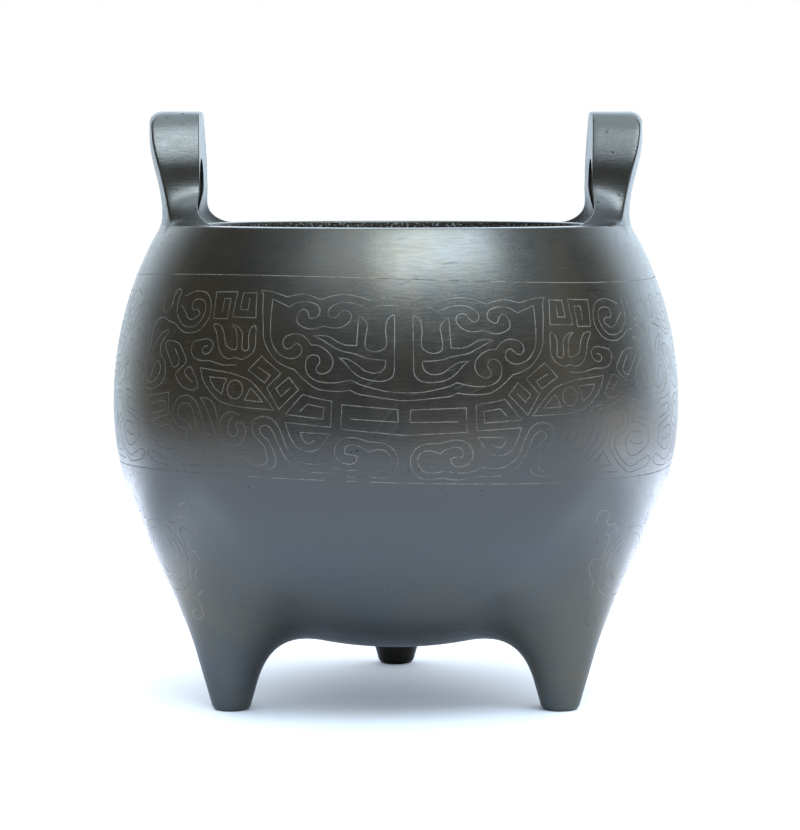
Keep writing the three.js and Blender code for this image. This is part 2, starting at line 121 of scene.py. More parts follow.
class CenserBodySizes(bpy.types.PropertyGroup):
    """Sizes of the bowl, its wall and its legs."""

    belly_radius: length_setting("Belly radius", "Widest radius of the bowl", BOWL_HIGH[0])
    belly_height: length_setting("Belly height", "Height of the widest ring", 102 * MM)
    shoulder_reach: length_setting("Shoulder reach", "Vertical half axis of the upper belly", 108.31 * MM)
    belly_bottom: length_setting("Belly bottom", "Height of the underside at its middle", 17.9 * MM)
    lower_roundness: bpy.props.FloatProperty(
        name="Lower roundness", description="Exponent of the lower belly's curve", default=2.17
    )
    rim_height: length_setting("Rim height", "Height of the rim's flat top", BOWL_HIGH[2])
    rim_round: length_setting("Rim round", "Radius of the rim's rounded edges", 0.7 * MM)
    mouth_radius: length_setting("Mouth radius", "Radius of the opening inside the rim", 69 * MM)
    lip_depth: length_setting("Lip depth", "Depth of the straight lip inside the rim", 6 * MM)
    wall: length_setting("Wall", "Thickness of the wall at the belly", 5.5 * MM)
    floor: length_setting("Floor", "Thickness of the floor", 6 * MM)
    leg_circle: length_setting("Leg circle", "Radius of the circle that the legs stand on", 64.1 * MM)
    leg_blend: length_setting("Leg blend", "Reach of the soft blend between legs and belly", 19.9 * MM)
    leg_flare: bpy.props.FloatProperty(
        name="Leg flare", description="Growth of a leg's radius with height", default=0.2745
    )
    leg_rise: length_setting("Leg rise", "Height over which a leg swells and fades", 80 * MM)
    leg_swell: length_setting("Leg swell", "Extra radius of a leg at the rise", 3.9 * MM)
    leg_pinch: length_setting("Leg pinch", "Radius taken from a leg at the rise", 16.4 * MM)
    foot_radius: length_setting("Foot radius", "Radius of a leg at the floor", 6.2 * MM)
    foot_round: length_setting("Foot round", "Radius of the worn edge of a sole", 1.2 * MM)
    foot_height: length_setting("Foot height", "Height of the joint between foot and bowl", BOWL_LOW[2])


class CenserEarSizes(bpy.types.PropertyGroup):
    """Sizes of the two loop ears."""

    height: length_setting("Height", "Height of an ear over the rim", EAR_HIGH[2] - BOWL_HIGH[2])
    half_width: length_setting("Half width", "Half the width of the inner face above the flare", 20 * MM)
    foot_half_width: length_setting("Foot half width", "Half the width of the inner face at the rim", 44 * MM)
    outer_half_width: length_setting("Outer half width", "The same of the outer face", 22.5 * MM)
    outer_foot_half_width: length_setting("Outer foot half width", "The same of the outer face", 29 * MM)
    toe: length_setting("Toe", "Extra reach of the outer face in a thin toe on the rim", 10 * MM)
    flare_height: length_setting("Flare height", "Height of the concave flare at an ear's foot", 18 * MM)
    narrow: length_setting("Narrow", "How fast each side draws in towards the top", 10 * MM)
    opening_half_width: length_setting("Opening half width", "Half the width of the opening", 10.5 * MM)
    opening_splay: length_setting("Opening splay", "Extra half width of the opening at the rim", 3 * MM)
    opening_height: length_setting("Opening height", "Height of the loop's opening", 22.5 * MM)
    inner_radius: length_setting("Inner radius", "Radius of an ear's inner face at the rim", 69.5 * MM)
    thickness: length_setting("Thickness", "Thickness of an ear at the rim", 10.9 * MM)
    inward_lean: length_setting("Inward lean", "How far the inner face leans in at the top", 2.7 * MM)
    flatten: length_setting("Flatten", "How far the ends of the inner face draw back", 3.8 * MM)
    outward_swell: length_setting("Outward swell", "How far the outer face swells out at the top", 3.95 * MM)
    inner_edge: length_setting("Inner edge", "Radius of the crisp edges of the inner face", 0.45 * MM)
    outer_edge: length_setting("Outer edge", "Radius of the softer edges of the outer face", 0.8 * MM)
    top_edge: length_setting("Top edge", "Radius of the outer face's edge at the top", 4.2 * MM)
    fillet: length_setting("Fillet", "Reach of the soft hollow where an ear leaves the shoulder", 4.0 * MM)


class CenserInlaySizes(bpy.types.PropertyGroup):
    """Sizes and places of the silver wire."""

    wire_width: length_setting("Wire width", "Width of a wire", 0.3 * MM)
    wire_depth: length_setting("Wire depth", "Depth of a wire in the bronze", 0.5 * MM)
    wire_proud: length_setting("Wire proud", "Height of a wire over the bronze", 0.012 * MM)
    step: length_setting("Step", "Distance between sections of a wire", 0.8 * MM)
    upper_border: length_setting("Upper border", "Height of the upper border wire", 146.5 * MM)
    lower_border: length_setting("Lower border", "Height of the lower border wire", 82.7 * MM)
    drift: length_setting("Drift", "How far the inlay strays from level", 1.5 * MM)


class CenserFinish(bpy.types.PropertyGroup):
    """Colours of the metals and of the studio."""

    bronze: colour_setting("Bronze", "Dark patinated bronze", (0.123, 0.130, 0.127))
    warm_bronze: colour_setting("Warm bronze", "Where the patina is rubbed thin", (0.18, 0.155, 0.112))
    old_bronze: colour_setting("Old bronze", "Rough metal inside the bowl", (0.035, 0.032, 0.028))
    silver: colour_setting("Silver", "Rubbed silver wire", (0.29, 0.28, 0.25))
    tarnish: colour_setting("Tarnish", "Tarnished silver wire", (0.16, 0.15, 0.13))
    # The paper's blue stands in for cool fill light, so that its shadow shows a painted cool tint.
    paper: colour_setting("Paper", "Pale studio paper near the censer", (0.78, 0.88, 1.0))
    paper_glow: colour_setting("Paper glow", "Bright cool paper in reflections", (0.74, 0.82, 0.98))
    daylight: colour_setting("Daylight", "Cool white of the studio in reflections", (0.72, 0.86, 1.0))
    shade: colour_setting("Shade", "Dim room in front of the censer in reflections", (0.15, 0.138, 0.112))


def settings():
    """The four groups of settings, on the scene."""
    scene = bpy.context.scene
    return scene.censer_body, scene.censer_ears, scene.censer_inlay, scene.censer_finish


def belly_field(points, body):
    """Distance-like value to the belly: r (1 - 1/g), where g is the superellipse sum of height and radius."""
    radius = np.hypot(points[..., 0], points[..., 1])
    rise = points[..., 2] - body.belly_height
    reach = np.where(rise > 0, body.shoulder_reach, body.belly_height - body.belly_bottom)
    power = np.where(rise > 0, 2.0, body.lower_roundness)
    size = (np.abs(rise) / reach) ** power + (radius / body.belly_radius) ** power
    scale = np.maximum(size, np.finfo(float).eps) ** (1 / power)
    return np.hypot(radius, rise) * (1 - 1 / scale)


def leg_field(points, azimuth, body):
    """Distance-like value to a leg: (distance from its axis - radius(z)) / sqrt(1 + slope^2)."""
    dx = points[..., 0] - body.leg_circle * np.cos(azimuth)
    dy = points[..., 1] - body.leg_circle * np.sin(azimuth)
    share = np.maximum(points[..., 2], 0.0) / body.leg_rise
    swell = body.leg_swell * share**2 - body.leg_pinch * share**4
    radius = body.foot_radius + body.leg_flare * points[..., 2] + swell
    slope = body.leg_flare + (2 * body.leg_swell * share - 4 * body.leg_pinch * share**3) / body.leg_rise
    return (np.hypot(dx, dy) - radius) / np.hypot(1.0, np.clip(slope, -STEEPEST_LEG, STEEPEST_LEG))


def body_field(points, body):
    """Belly and legs as one: min(belly, leg) - h^2 k / 4, with h = max(k - |belly - leg|, 0) / k."""
    belly = belly_field(points, body)
    leg = np.min([leg_field(points, azimuth, body) for azimuth in LEG_AZIMUTHS], axis=0)
    overlap = np.maximum(body.leg_blend - np.abs(belly - leg), 0.0) / body.leg_blend
    return np.minimum(belly, leg) - overlap**2 * body.leg_blend / 4


def body_gradient(points, body):
    """Central differences of the body's field along X, Y and Z."""
    step = 2e-4 * body.belly_radius
    slopes = [
        body_field(points + step * axis, body) - body_field(points - step * axis, body) for axis in np.eye(3)
    ]
    return np.stack(slopes, axis=-1) / (2 * step)


def settle(points, body, rounds=12):
    """Slides points onto the outer face: p = p - f(p) grad f / |grad f|^2, repeated."""
    for _ in range(rounds):
        slope = body_gradient(points, body)
        share = body_field(points, body) / np.sum(slope**2, axis=-1)
        points = points - share[..., None] * slope
    return points


def ray_length(starts, directions, longest, body):
    """Distance along rays from inside the body to its outer face, by halving the interval many times."""
    near = np.zeros(directions.shape[:-1])
    far = near + longest
    for _ in range(HALVINGS):
        middle = (near + far) / 2
        inside = body_field(starts + directions * middle[..., None], body) < 0
        near = np.where(inside, middle, near)
        far = np.where(inside, far, middle)
    return near


def outward(azimuth):
    """Unit vectors (cos a, sin a, 0)."""
    azimuth = np.asarray(azimuth, dtype=float)
    return np.stack([np.cos(azimuth), np.sin(azimuth), np.zeros_like(azimuth)], axis=-1)


def body_points(azimuth, height, body):
    """Points of the outer face at azimuths and heights, on rays out of the bowl's axis."""
    azimuth, height = np.broadcast_arrays(np.asarray(azimuth, float), np.asarray(height, float))
    starts = np.stack([np.zeros_like(height), np.zeros_like(height), height], axis=-1)
    directions = outward(azimuth)
    return starts + directions * ray_length(starts, directions, 2 * body.belly_radius, body)[..., None]


def leg_ring(azimuth, height, bearings, body):
    """Ring of points round one leg at one height, on rays out of the leg's axis."""
    axis = outward(azimuth) * body.leg_circle + np.array([0.0, 0.0, height])
    directions = outward(azimuth + bearings)
    starts = np.broadcast_to(axis, directions.shape)
    return starts + directions * ray_length(starts, directions, body.leg_circle / 2, body)[..., None]


def leg_bearings():
    """Angles round a leg: even over 230 degrees on the outside, then even over the rest."""
    side = np.radians(115.0)
    outer = np.linspace(-side, side, LEG_STEPS, endpoint=False)
    inner = np.linspace(side, 2 * np.pi - side, 2 * MERIDIAN_STEPS, endpoint=False)
    return np.concatenate([outer, inner])


def meridian(azimuth, body):
    """Points down the outer face at one azimuth, from the patches' top to the middle of the underside."""
    top = body_points(azimuth, PATCH_TOP, body)
    middle = np.array([0.0, 0.0, body.belly_height])
    first = np.arctan2(body.belly_height - PATCH_TOP, np.hypot(top[0], top[1]))
    dip = np.linspace(first, np.pi / 2, MERIDIAN_STEPS + 1)[1:]
    directions = outward(azimuth) * np.cos(dip)[:, None] - np.sin(dip)[:, None] * np.array([0.0, 0.0, 1.0])
    starts = np.broadcast_to(middle, directions.shape)
    lengths = ray_length(starts, directions, 2 * body.belly_radius, body)
    return np.concatenate([top[None], starts + directions * lengths[:, None]])


def leg_patch(azimuth, body, rows=56, crowding=1.25):
    """Rows of points from a leg's ring out to the patches' top and the two meridians beside the leg."""
    half = np.pi / len(LEG_AZIMUTHS)
    azimuths = np.linspace(azimuth - half, azimuth + half, LEG_STEPS, endpoint=False)
    arc = body_points(azimuths, PATCH_TOP, body)
    right = meridian(azimuth + half, body)
    left = meridian(azimuth - half, body)[::-1]
    loop = np.concatenate([arc, right[:-1], left[:-1]])
    ring = leg_ring(azimuth, body.foot_height, leg_bearings(), body)
    share = (np.arange(rows + 1) / rows)[:, None, None] ** crowding
    grid = ring[None] * (1 - share) + loop[None] * share
    grid[1:-1] = settle(grid[1:-1], body)
    return grid


def grid_faces(rows, columns, offset=0):
    """Quads between neighbouring rows of a grid, whose rows are closed rings."""
    across = np.arange(columns)
    down = np.arange(rows - 1)[:, None]
    here = down * columns + across
    right = down * columns + (across + 1) % columns
    quads = np.stack([here, right, right + columns, here + columns], axis=-1)
    return quads.reshape(-1, 4) + offset


class Shell:
    """Collects grids and fans of points into one mesh with material slots."""

    def __init__(self):
        self.points = []
        self.faces = []
        self.slots = []
        self.count = 0

    def grid(self, grid, slot=0):
        """Adds a grid of rows and columns of points as quads."""
        rows, columns = grid.shape[:2]
        quads = grid_faces(rows, columns, self.count)
        self.points.append(grid.reshape(-1, 3))
        self.faces += quads.tolist()
        self.slots += [slot] * len(quads)
        self.count += rows * columns

    def fan(self, centre, ring, slot=0):
        """Closes a ring of points with triangles to a centre."""
        steps = np.arange(len(ring))
        triangles = np.stack([steps, (steps + 1) % len(ring), np.full(len(ring), len(ring))], axis=-1)
        self.points.append(np.concatenate([ring, [centre]]))
        self.faces += (triangles + self.count).tolist()
        self.slots += [slot] * len(ring)
        self.count += len(ring) + 1

    def build(self, name, materials, nodes, sharp=35.0, weld=2e-6):
        """Makes the object: doubles merged, faces outwards, smooth but for edges past an angle."""
        mesh = bpy.data.meshes.new(name)
        mesh.from_pydata(np.concatenate(self.points).tolist(), [], self.faces)
        mesh.polygons.foreach_set("material_index", np.array(self.slots, dtype=np.int32))
        for material in materials:
            mesh.materials.append(material)
        work = bmesh.new()
        work.from_mesh(mesh)
        bmesh.ops.remove_doubles(work, verts=work.verts, dist=weld)
        bmesh.ops.dissolve_degenerate(work, edges=work.edges, dist=weld / 2)
        bmesh.ops.recalc_face_normals(work, faces=work.faces)
        work.to_mesh(mesh)
        work.free()
        mesh.polygons.foreach_set("use_smooth", np.ones(len(mesh.polygons), dtype=bool))
        mesh.set_sharp_from_angle(angle=np.radians(sharp))
        piece = bpy.data.objects.new(name, mesh)
        bpy.context.scene.collection.objects.link(piece)
        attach(piece, "root")
        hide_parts(*[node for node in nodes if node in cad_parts])


def revolve(profile, azimuths):
    """Grid of points (r cos a, r sin a, z) for a profile of (r, z)."""
    radius = profile[:, 0][:, None]
    height = np.broadcast_to(profile[:, 1][:, None], (len(profile), len(azimuths)))
    return np.stack([radius * np.cos(azimuths), radius * np.sin(azimuths), height], axis=-1)


def hollow_profile(body, rows=34):
    """Inner wall from the lip to the floor: an ellipse above the belly ring, a superellipse below it."""
    radius = body.belly_radius - body.wall
    depth = body.belly_height - body.belly_bottom - body.floor
    lip_base = body.rim_height - body.lip_depth
    reach = (lip_base - body.belly_height) / np.sqrt(1 - (body.mouth_radius / radius) ** 2)
    upper = np.linspace(lip_base, body.belly_height, rows // 2, endpoint=False)
    upper_radius = radius * np.sqrt(1 - ((upper - body.belly_height) / reach) ** 2)
    dip = np.linspace(0.0, np.pi / 2, rows - rows // 2 + 1)[:-1]
    lower_radius = radius * np.cos(dip) ** (2 / body.lower_roundness)
    lower = body.belly_height - depth * np.sin(dip) ** (2 / body.lower_roundness)
    return np.stack([np.append(upper_radius, lower_radius), np.append(upper, lower)], axis=-1)


def soft_step(share):
    """0 below 0, 1 above 1, and 3 s^2 - 2 s^3 between them."""
    held = np.clip(share, 0.0, 1.0)
    return held**2 * (3 - 2 * held)


def ear_edges(fall, ear):
    """Inner and outer half width of the flare: half + (foot - half) f, and a toe f^8 on the outer one."""
    inner = ear.half_width + (ear.foot_half_width - ear.half_width) * fall
    outer = ear.outer_half_width + (ear.outer_foot_half_width - ear.outer_half_width) * fall
    return inner, outer + ear.toe * fall**8


def ear_cover(along, ear):
    """Height of an ear's outer face at a distance along the rim, fading to none in its opening."""
    fade = 3 * MM
    share = np.linspace(0.0, 1.0, 60)
    _, outer = ear_edges((1 - share) ** FLARE_POWER, ear)
    height = ear.flare_height * np.interp(-np.abs(along), -outer, share)
    return height * soft_step((np.abs(along) - ear.opening_half_width) / fade)


def ear_fillet(along, drop, ear):
    """Bulge of the hollow round the crease at an ear's foot: lean / (4 L) (L - |drop|)^2, L its reach."""
    reach = np.clip(0.7 * ear_cover(along, ear), 1e-6, ear.fillet)
    return RIM_LEAN / (4 * reach) * np.clip(reach - np.abs(drop), 0.0, None) ** 2


def along_rim(azimuth, ear):
    """Distance of the rim's outer edge from the middle plane of the ears: its radius times |sin a|."""
    return (ear.inner_radius + ear.thickness) * np.abs(np.sin(azimuth))


def rim_rows(body, ear, azimuths):
    """Shoulder and rim: body rings, a rounded outer edge that fades under the ears, a flat, an inner edge."""
    along = along_rim(azimuths, ear)
    crease, fade = 0.02 * MM, 1.5 * MM
    rounding = crease + body.rim_round * (1 - soft_step(ear_cover(along, ear) / fade))
    lean = np.arctan(RIM_LEAN)
    top = body.rim_height - rounding * (1 - np.sin(lean))
    low = body.rim_height - RIM_BAND
    heights = low + (top - low) * np.linspace(0, 1, 15)[:, None]
    rings = body_points(azimuths[None, :], heights, body)
    radius = np.hypot(rings[..., 0], rings[..., 1])
    grown = radius + ear_fillet(along[None, :], body.rim_height - heights, ear)
    rings[..., :2] *= (grown / radius)[..., None]
    turned = np.linspace(lean, np.pi / 2, 7)[1:, None]
    edge_radius = grown[-1] - rounding * (np.cos(lean) - np.cos(turned))
    edge_height = top + rounding * (np.sin(turned) - np.sin(lean))
    edge = outward(azimuths)[None] * edge_radius[..., None]
    edge[..., 2] = edge_height
    turned = np.radians(np.linspace(90, 180, 6))
    inner = np.stack([body.rim_round * np.cos(turned), body.rim_round * np.sin(turned)], axis=-1)
    inner += np.array([body.mouth_radius + body.rim_round, body.rim_height - body.rim_round])
    lip = revolve(inner, azimuths)
    share = np.linspace(0, 1, 6)[1:-1, None, None]
    flat = edge[-1][None] * (1 - share) + lip[0][None] * share
    return np.concatenate([rings, edge, flat, lip])


def build_bowl():
    """Bowl: outer rings, a patch round each leg, the rounded rim and the rough inner wall."""
    body, ear, _, _ = settings()
    azimuths = LEG_AZIMUTHS[0] - np.pi / 3 + 2 * np.pi * np.arange(BOWL_STEPS) / BOWL_STEPS
    heights = np.linspace(PATCH_TOP, body.rim_height - RIM_BAND, 78)[:-1]
    outer = body_points(azimuths[None, :], heights[:, None], body)
    rim = rim_rows(body, ear, azimuths)
    hollow = revolve(hollow_profile(body), azimuths)
    shell = Shell()
    shell.grid(np.concatenate([outer, rim]))
    shell.grid(np.concatenate([rim[-1:], hollow]), slot=1)
    floor_height = body.belly_bottom + body.floor
    shell.fan(np.array([0.0, 0.0, floor_height]), hollow[-1], slot=1)
    for azimuth in LEG_AZIMUTHS:
        patch = leg_patch(azimuth, body)
        shell.grid(patch)
        shell.fan(outward(azimuth) * body.leg_circle + np.array([0.0, 0.0, body.foot_height]), patch[0])
    shell.build("bowl_cast", [bowl_material(), interior_material()], ["bowl"])


def build_foot(name, azimuth):
    """Foot: rings of the leg's own shape from the joint down to a sole with a worn round edge."""
    body, _, _, _ = settings()
    bearings = leg_bearings()
    top = body.foot_height
    heights = np.linspace(top, body.foot_round, 22)
    rings = [leg_ring(azimuth, height, bearings, body) for height in heights]
    axis = outward(azimuth) * body.leg_circle
    base = leg_ring(azimuth, 0.0, bearings, body)
    spread = base - axis
    radius = np.linalg.norm(spread, axis=-1, keepdims=True)
    for angle in np.radians(np.linspace(0, 90, 8))[1:]:
        inset = body.foot_round * (1 - np.cos(angle))
        height = body.foot_round * (1 - np.sin(angle))
        rings.append(axis + spread * (1 - inset / radius) + np.array([0.0, 0.0, height]))
    shell = Shell()
    shell.grid(np.stack(rings))
    shell.fan(axis, rings[-1])
    shell.fan(axis + np.array([0.0, 0.0, top]), rings[0])
    shell.build(name + "_cast", [foot_material()], [name])


def ear_outline(ear, steps):
    """Rows (opening, its height, inner edge, outer edge, their height): a flare, an arch, and back down.

    The flare's edges fall as (1 - s)^p, at a height that grows as sqrt(s^2 + e^2) - e.
    The arch is the superellipse |x|^6 + |y|^6 = 1, drawn in by sqrt(y^2 + d) - sqrt(d).
    """
    share = np.arange(steps) / steps
    ease, draw = 0.05, 0.1
    climb = (np.hypot(share, ease) - ease) / (np.hypot(1.0, ease) - ease)
    spring = ear.opening_height - ear.opening_half_width
    inner, outer = ear_edges((1 - share) ** FLARE_POWER, ear)
    level = ear.opening_half_width + ear.opening_splay * (1 - share) ** 2
    flare = np.stack([level, spring * share, inner, outer, ear.flare_height * climb], axis=-1)
    sweep = np.linspace(0, np.pi, 3 * steps + 1)
    across, rise = np.cos(sweep), np.clip(np.sin(sweep), 0.0, None)
    size = (np.abs(across) ** ARCH_POWER + rise**ARCH_POWER) ** (1 / ARCH_POWER)
    narrow = ear.narrow * (np.sqrt((rise / size) ** 2 + draw) - np.sqrt(draw))
    arch = np.stack(
        [
            ear.opening_half_width * across,
            spring + ear.opening_half_width * rise,
            (ear.half_width - narrow) * across / size,
            (ear.outer_half_width - narrow) * across / size,
            ear.flare_height + (ear.height - ear.flare_height) * rise / size,
        ],
        axis=-1,
    )
    other_flare = flare[::-1] * np.array([-1, 1, -1, -1, 1])
    return np.concatenate([flare, arch, other_flare])


def ear_faces(along, up, ear):
    """Radii of both faces: inner + flatten (1 - (1 - a^2)^4) - lean S(up), outer + swell S(up) + fillet."""
    lean_end, swell_start, swell_end = 0.35, 0.12, 0.78
    rise = up / ear.height
    across = np.clip(np.abs(along) / ear.foot_half_width, 0.0, 1.0)
    near = ear.inner_radius + ear.flatten * (1 - (1 - across**2) ** 4)
    near = near - ear.inward_lean * soft_step(rise / lean_end)
    swell = soft_step((rise - swell_start) / (swell_end - swell_start))
    far = ear.inner_radius + ear.thickness + ear.outward_swell * swell
    return near, far + ear_fillet(along, up, ear)


def rounded_section(span, depth, rounds, across, deep):
    """Closed rectangle in shares of span and depth, each corner with its own radius."""
    quarter = np.linspace(0, np.pi / 2, 6)
    corners = [(1, 0), (1, 1), (0, 1), (0, 0)]
    arcs = []
    for (x, y), rounding, first in zip(corners, rounds, np.pi / 2 * np.arange(-1, 3)):
        turned = first + quarter
        right = x * span + (1 - 2 * x) * rounding + rounding * np.cos(turned)
        up = y * depth + (1 - 2 * y) * rounding + rounding * np.sin(turned)
        arcs.append(np.stack([right, up], axis=-1))
    points = []
    for index, arc in enumerate(arcs):
        count = deep if index % 2 == 0 else across
        share = np.linspace(0, 1, count + 2)[1:-1, None]
        points += [arc, arc[-1] * (1 - share) + arcs[(index + 1) % 4][0] * share]
    return (np.concatenate(points) / np.array([span, depth])).T


def build_ear(name, azimuth):
    """Ear: a loft between its opening and its outer edge, with faces that follow the rim's circle."""
    body, ear, _, _ = settings()
    side = np.cross([0.0, 0.0, 1.0], outward(azimuth))
    rows = []
    for opening, opening_up, inner, outer, edge_up in ear_outline(ear, 28):
        span = np.hypot(outer - opening, edge_up - opening_up)
        near, far = ear_faces((opening + outer) / 2, (opening_up + edge_up) / 2, ear)
        crown = soft_step((edge_up / ear.height - CROWN_START) / (1 - CROWN_START))
        soft = ear.outer_edge + (ear.top_edge - ear.outer_edge) * crown
        rounds = (ear.inner_edge, soft, ear.outer_edge, ear.inner_edge)
        share, deep = rounded_section(span, far - near, rounds, 12, 8)
        up = opening_up + (edge_up - opening_up) * share
        along = opening + (inner + (outer - inner) * deep - opening) * share
        near, far = ear_faces(along, up, ear)
        radius = near + (far - near) * deep
        place = outward(azimuth) * np.sqrt(radius**2 - along**2)[:, None] + side * along[:, None]
        place[:, 2] = body.rim_height + up
        rows.append(place)
    shell = Shell()
    shell.grid(np.stack(rows))
    for row in (rows[0], rows[-1]):
        shell.fan(row.mean(axis=0), row)
    shell.build(name + "_cast", [ear_material()], [name])


SHARP = 1


def mirrored(half):
    """A closed outline from its left half: the points, then the same points across the middle."""
    other = [(-point[0], *point[1:]) for point in reversed(half) if abs(point[0]) > 0]
    return list(half) + other


def smooth_run(points):
    """Catmull-Rom curve through a run of points: p(t) = cubic with slopes (next - previous) / 2."""
    points = np.asarray(points, dtype=float)
    padded = np.concatenate([[2 * points[0] - points[1]], points, [2 * points[-1] - points[-2]]])
    t = np.linspace(0, 1, SPAN_STEPS, endpoint=False)[:, None, None]
    before, start, end, after = padded[:-3], padded[1:-2], padded[2:-1], padded[3:]
    curve = (
        2 * start
        + (end - before) * t
        + (2 * before - 5 * start + 4 * end - after) * t**2
        + (3 * start - before - 3 * end + after) * t**3
    ) / 2
    return np.concatenate([curve.transpose(1, 0, 2).reshape(-1, points.shape[1]), points[-1:]])


def wire_runs(path, closed, straight):
    """Splits a path of (across, height[, SHARP]) at its sharp points into smooth or straight runs."""
    points = [point[:2] for point in path]
    sharp = [straight or len(point) > 2 for point in path]
    if closed:
        first = sharp.index(True) if True in sharp else 0
        points = points[first:] + points[:first] + [points[first]]
        sharp = sharp[first:] + sharp[:first] + [True]
    ends = [0] + [i for i in range(1, len(points) - 1) if sharp[i]] + [len(points) - 1]
    return [points[a : b + 1] for a, b in zip(ends[:-1], ends[1:])], any(sharp[:-1])


def even_steps(line, step):
    """Points along a polyline at even distances near step, with both ends kept."""
    lengths = np.linalg.norm(np.diff(line, axis=0), axis=-1)
    total = np.append(0.0, np.cumsum(lengths))
    count = max(int(round(total[-1] / step)), 1)
    wanted = np.linspace(0, total[-1], count + 1)
    return np.stack([np.interp(wanted, total, line[:, axis]) for axis in range(line.shape[1])], axis=-1)


def drifted(azimuth, height, inlay):
    """Height of the inlay with its slow stray from level: h + drift cos(2 (a - 60 degrees))."""
    return height + inlay.drift * np.cos(2 * (azimuth - np.radians(60.0)))


def unit(vectors):
    """Vectors of length one, with zero vectors left alone."""
    length = np.linalg.norm(vectors, axis=-1, keepdims=True)
    return vectors / np.maximum(length, 1e-12)


def lay_wire(shell, azimuth, height, closed):
    """A wire as a ribbon with a low crown and a wedge below, square to the outer face all along."""
    body, _, inlay, _ = settings()
    points = body_points(azimuth, drifted(azimuth, height, inlay), body)
    normal = body_gradient(points, body)
    normal /= np.linalg.norm(normal, axis=-1, keepdims=True)
    if closed:
        before, after = np.roll(points, 1, axis=0), np.roll(points, -1, axis=0)
    else:
        before = np.concatenate([points[:1], points[:-1]])
        after = np.concatenate([points[1:], points[-1:]])
    into = unit(points - before)
    out = unit(after - points)
    tangent = unit(into + out)
    side = unit(np.cross(normal, tangent))
    bend = np.abs(np.sum(tangent * np.where(np.any(out, axis=-1, keepdims=True), out, into), axis=-1))
    reach = inlay.wire_width / 2 / np.clip(bend, MITRE, 1.0)[:, None]
    crown = points + normal * inlay.wire_proud
    edge = points + normal * inlay.wire_proud * EDGE_HEIGHT
    rows = np.stack(
        [
            points - normal * inlay.wire_depth,
            edge + side * reach,
            crown + side * reach * CROWN_WIDTH,
            crown - side * reach * CROWN_WIDTH,
            edge - side * reach,
        ],
        axis=1,
    )
    if closed:
        rows = np.concatenate([rows, rows[:1]])
    else:
        shell.fan(rows[0].mean(axis=0), rows[0])
        shell.fan(rows[-1].mean(axis=0), rows[-1])
    shell.grid(rows)


# The mask's wires, for its left half: degrees outwards from the middle, and millimetres over the floor.
OUTER_CARTOUCHE = [
    (0, 140.8), (4.7, 140.5), (6.9, 139.8, SHARP), (8.7, 140.5), (11.3, 141.2), (14.2, 140.7),
    (16.6, 139.4, SHARP), (20.2, 140.9), (23.9, 140, SHARP), (27.3, 141.4), (29.9, 141.8, SHARP),
    (29.3, 140.2), (28.9, 135.7), (28.3, 130.7), (27.9, 126.7), (26.7, 123.2), (25, 120.2), (23, 118.4),
    (21, 117.4, SHARP), (19.9, 115.7), (18.5, 113.7), (16.5, 111.7), (14.2, 111.1), (11.9, 111.1),
    (10, 111.5, SHARP), (8.5, 110.4), (5.9, 109.8), (1.6, 108.9), (0, 108.8),
]
INNER_CARTOUCHE = [
    (0, 138.2), (1.6, 138.3), (4.7, 138), (6.7, 136.8, SHARP), (9.3, 138.3), (11.3, 138.8), (13, 138.4),
    (14.6, 136.9), (14.9, 134.9), (13.9, 133.7), (12.9, 134.7), (12.2, 136), (11, 136.1), (10.2, 134.7),
    (10.6, 132.7), (11.9, 131.2), (13.6, 130.7), (15.5, 131.2, SHARP), (17.9, 130.2), (19.9, 130.8),
    (21.2, 132.4), (21, 134.9), (20.2, 136.3), (19.2, 135.7), (18.8, 134.2), (18.2, 133.4), (16.9, 134.4),
    (16.6, 135.9), (17.3, 137.7), (19.3, 138.6), (21.6, 138.2), (23.2, 136.8, SHARP), (24.5, 137.7),
    (27, 139.2, SHARP), (26.9, 135.7), (26.7, 130.7), (26.3, 126.7), (25.3, 123.7), (23.9, 121.7),
    (22.2, 120.8), (20.7, 121.2), (19.7, 122.9), (20, 124.9), (21, 125.5), (21.9, 124.2), (22.9, 123.8),
    (23.7, 125.2), (23.3, 127.4), (21.6, 128.5), (19.9, 128.2), (18.6, 126.7), (17.9, 125.3, SHARP),
    (16.5, 125.1), (15, 123.9), (13.7, 121.7), (13.5, 119.2), (14.2, 117.2), (15.5, 116.3), (16.5, 116.9),
    (16.6, 118.4), (16, 119.9), (16.3, 121.7), (17.5, 122.2), (18.5, 121.2), (18.8, 119.2), (18.5, 116.7),
    (17.3, 114.7), (15.3, 113.7), (13, 113.7), (11.3, 114.2), (9.9, 114.7, SHARP), (8.2, 113.4),
    (5.9, 112.4), (3.3, 111.5), (0, 111.2),
]
HORN = [
    (8.7, 134.6), (8.9, 130.7), (9, 125.5, SHARP), (11.3, 125.6), (13, 126.7), (14.5, 128), (16.2, 128.3),
    (17.5, 128.1, SHARP), (15.9, 127), (13.9, 125.2), (11.9, 123.7), (9.3, 122.9), (7.3, 121.8),
    (5, 121.3), (3.5, 121.2, SHARP), (3.5, 119.7), (3.9, 118.2), (5.3, 117.1), (7.3, 117.7), (8.7, 119.4),
    (10.5, 121.1), (12.3, 121.5, SHARP), (11.3, 120.2), (9.9, 117.7), (8.2, 115.7), (6.2, 114.8),
    (4.2, 114.6), (2.7, 115.4), (1.9, 117.2), (1.8, 121.7), (1.8, 126.7), (1.8, 134.5), (2.3, 135.1),
    (3.2, 133.7), (3.5, 130.7), (3.3, 126.7), (3.7, 124.9), (5.3, 123.7), (6.9, 124.3), (7.4, 125.9),
    (7.2, 129.7), (7, 131.7), (7.6, 133.5),
]
BROW_KEY = [
    (38.5, 134.5), (38.7, 139), (37, 139), (37, 132.6), (40.5, 132.6), (41.2, 141), (35.6, 141.2),
    (35.8, 133.2), (30.2, 133.2), (30.9, 141), (34.1, 140.9), (34.2, 135.6), (32.3, 135.6), (32.4, 139.4),
]
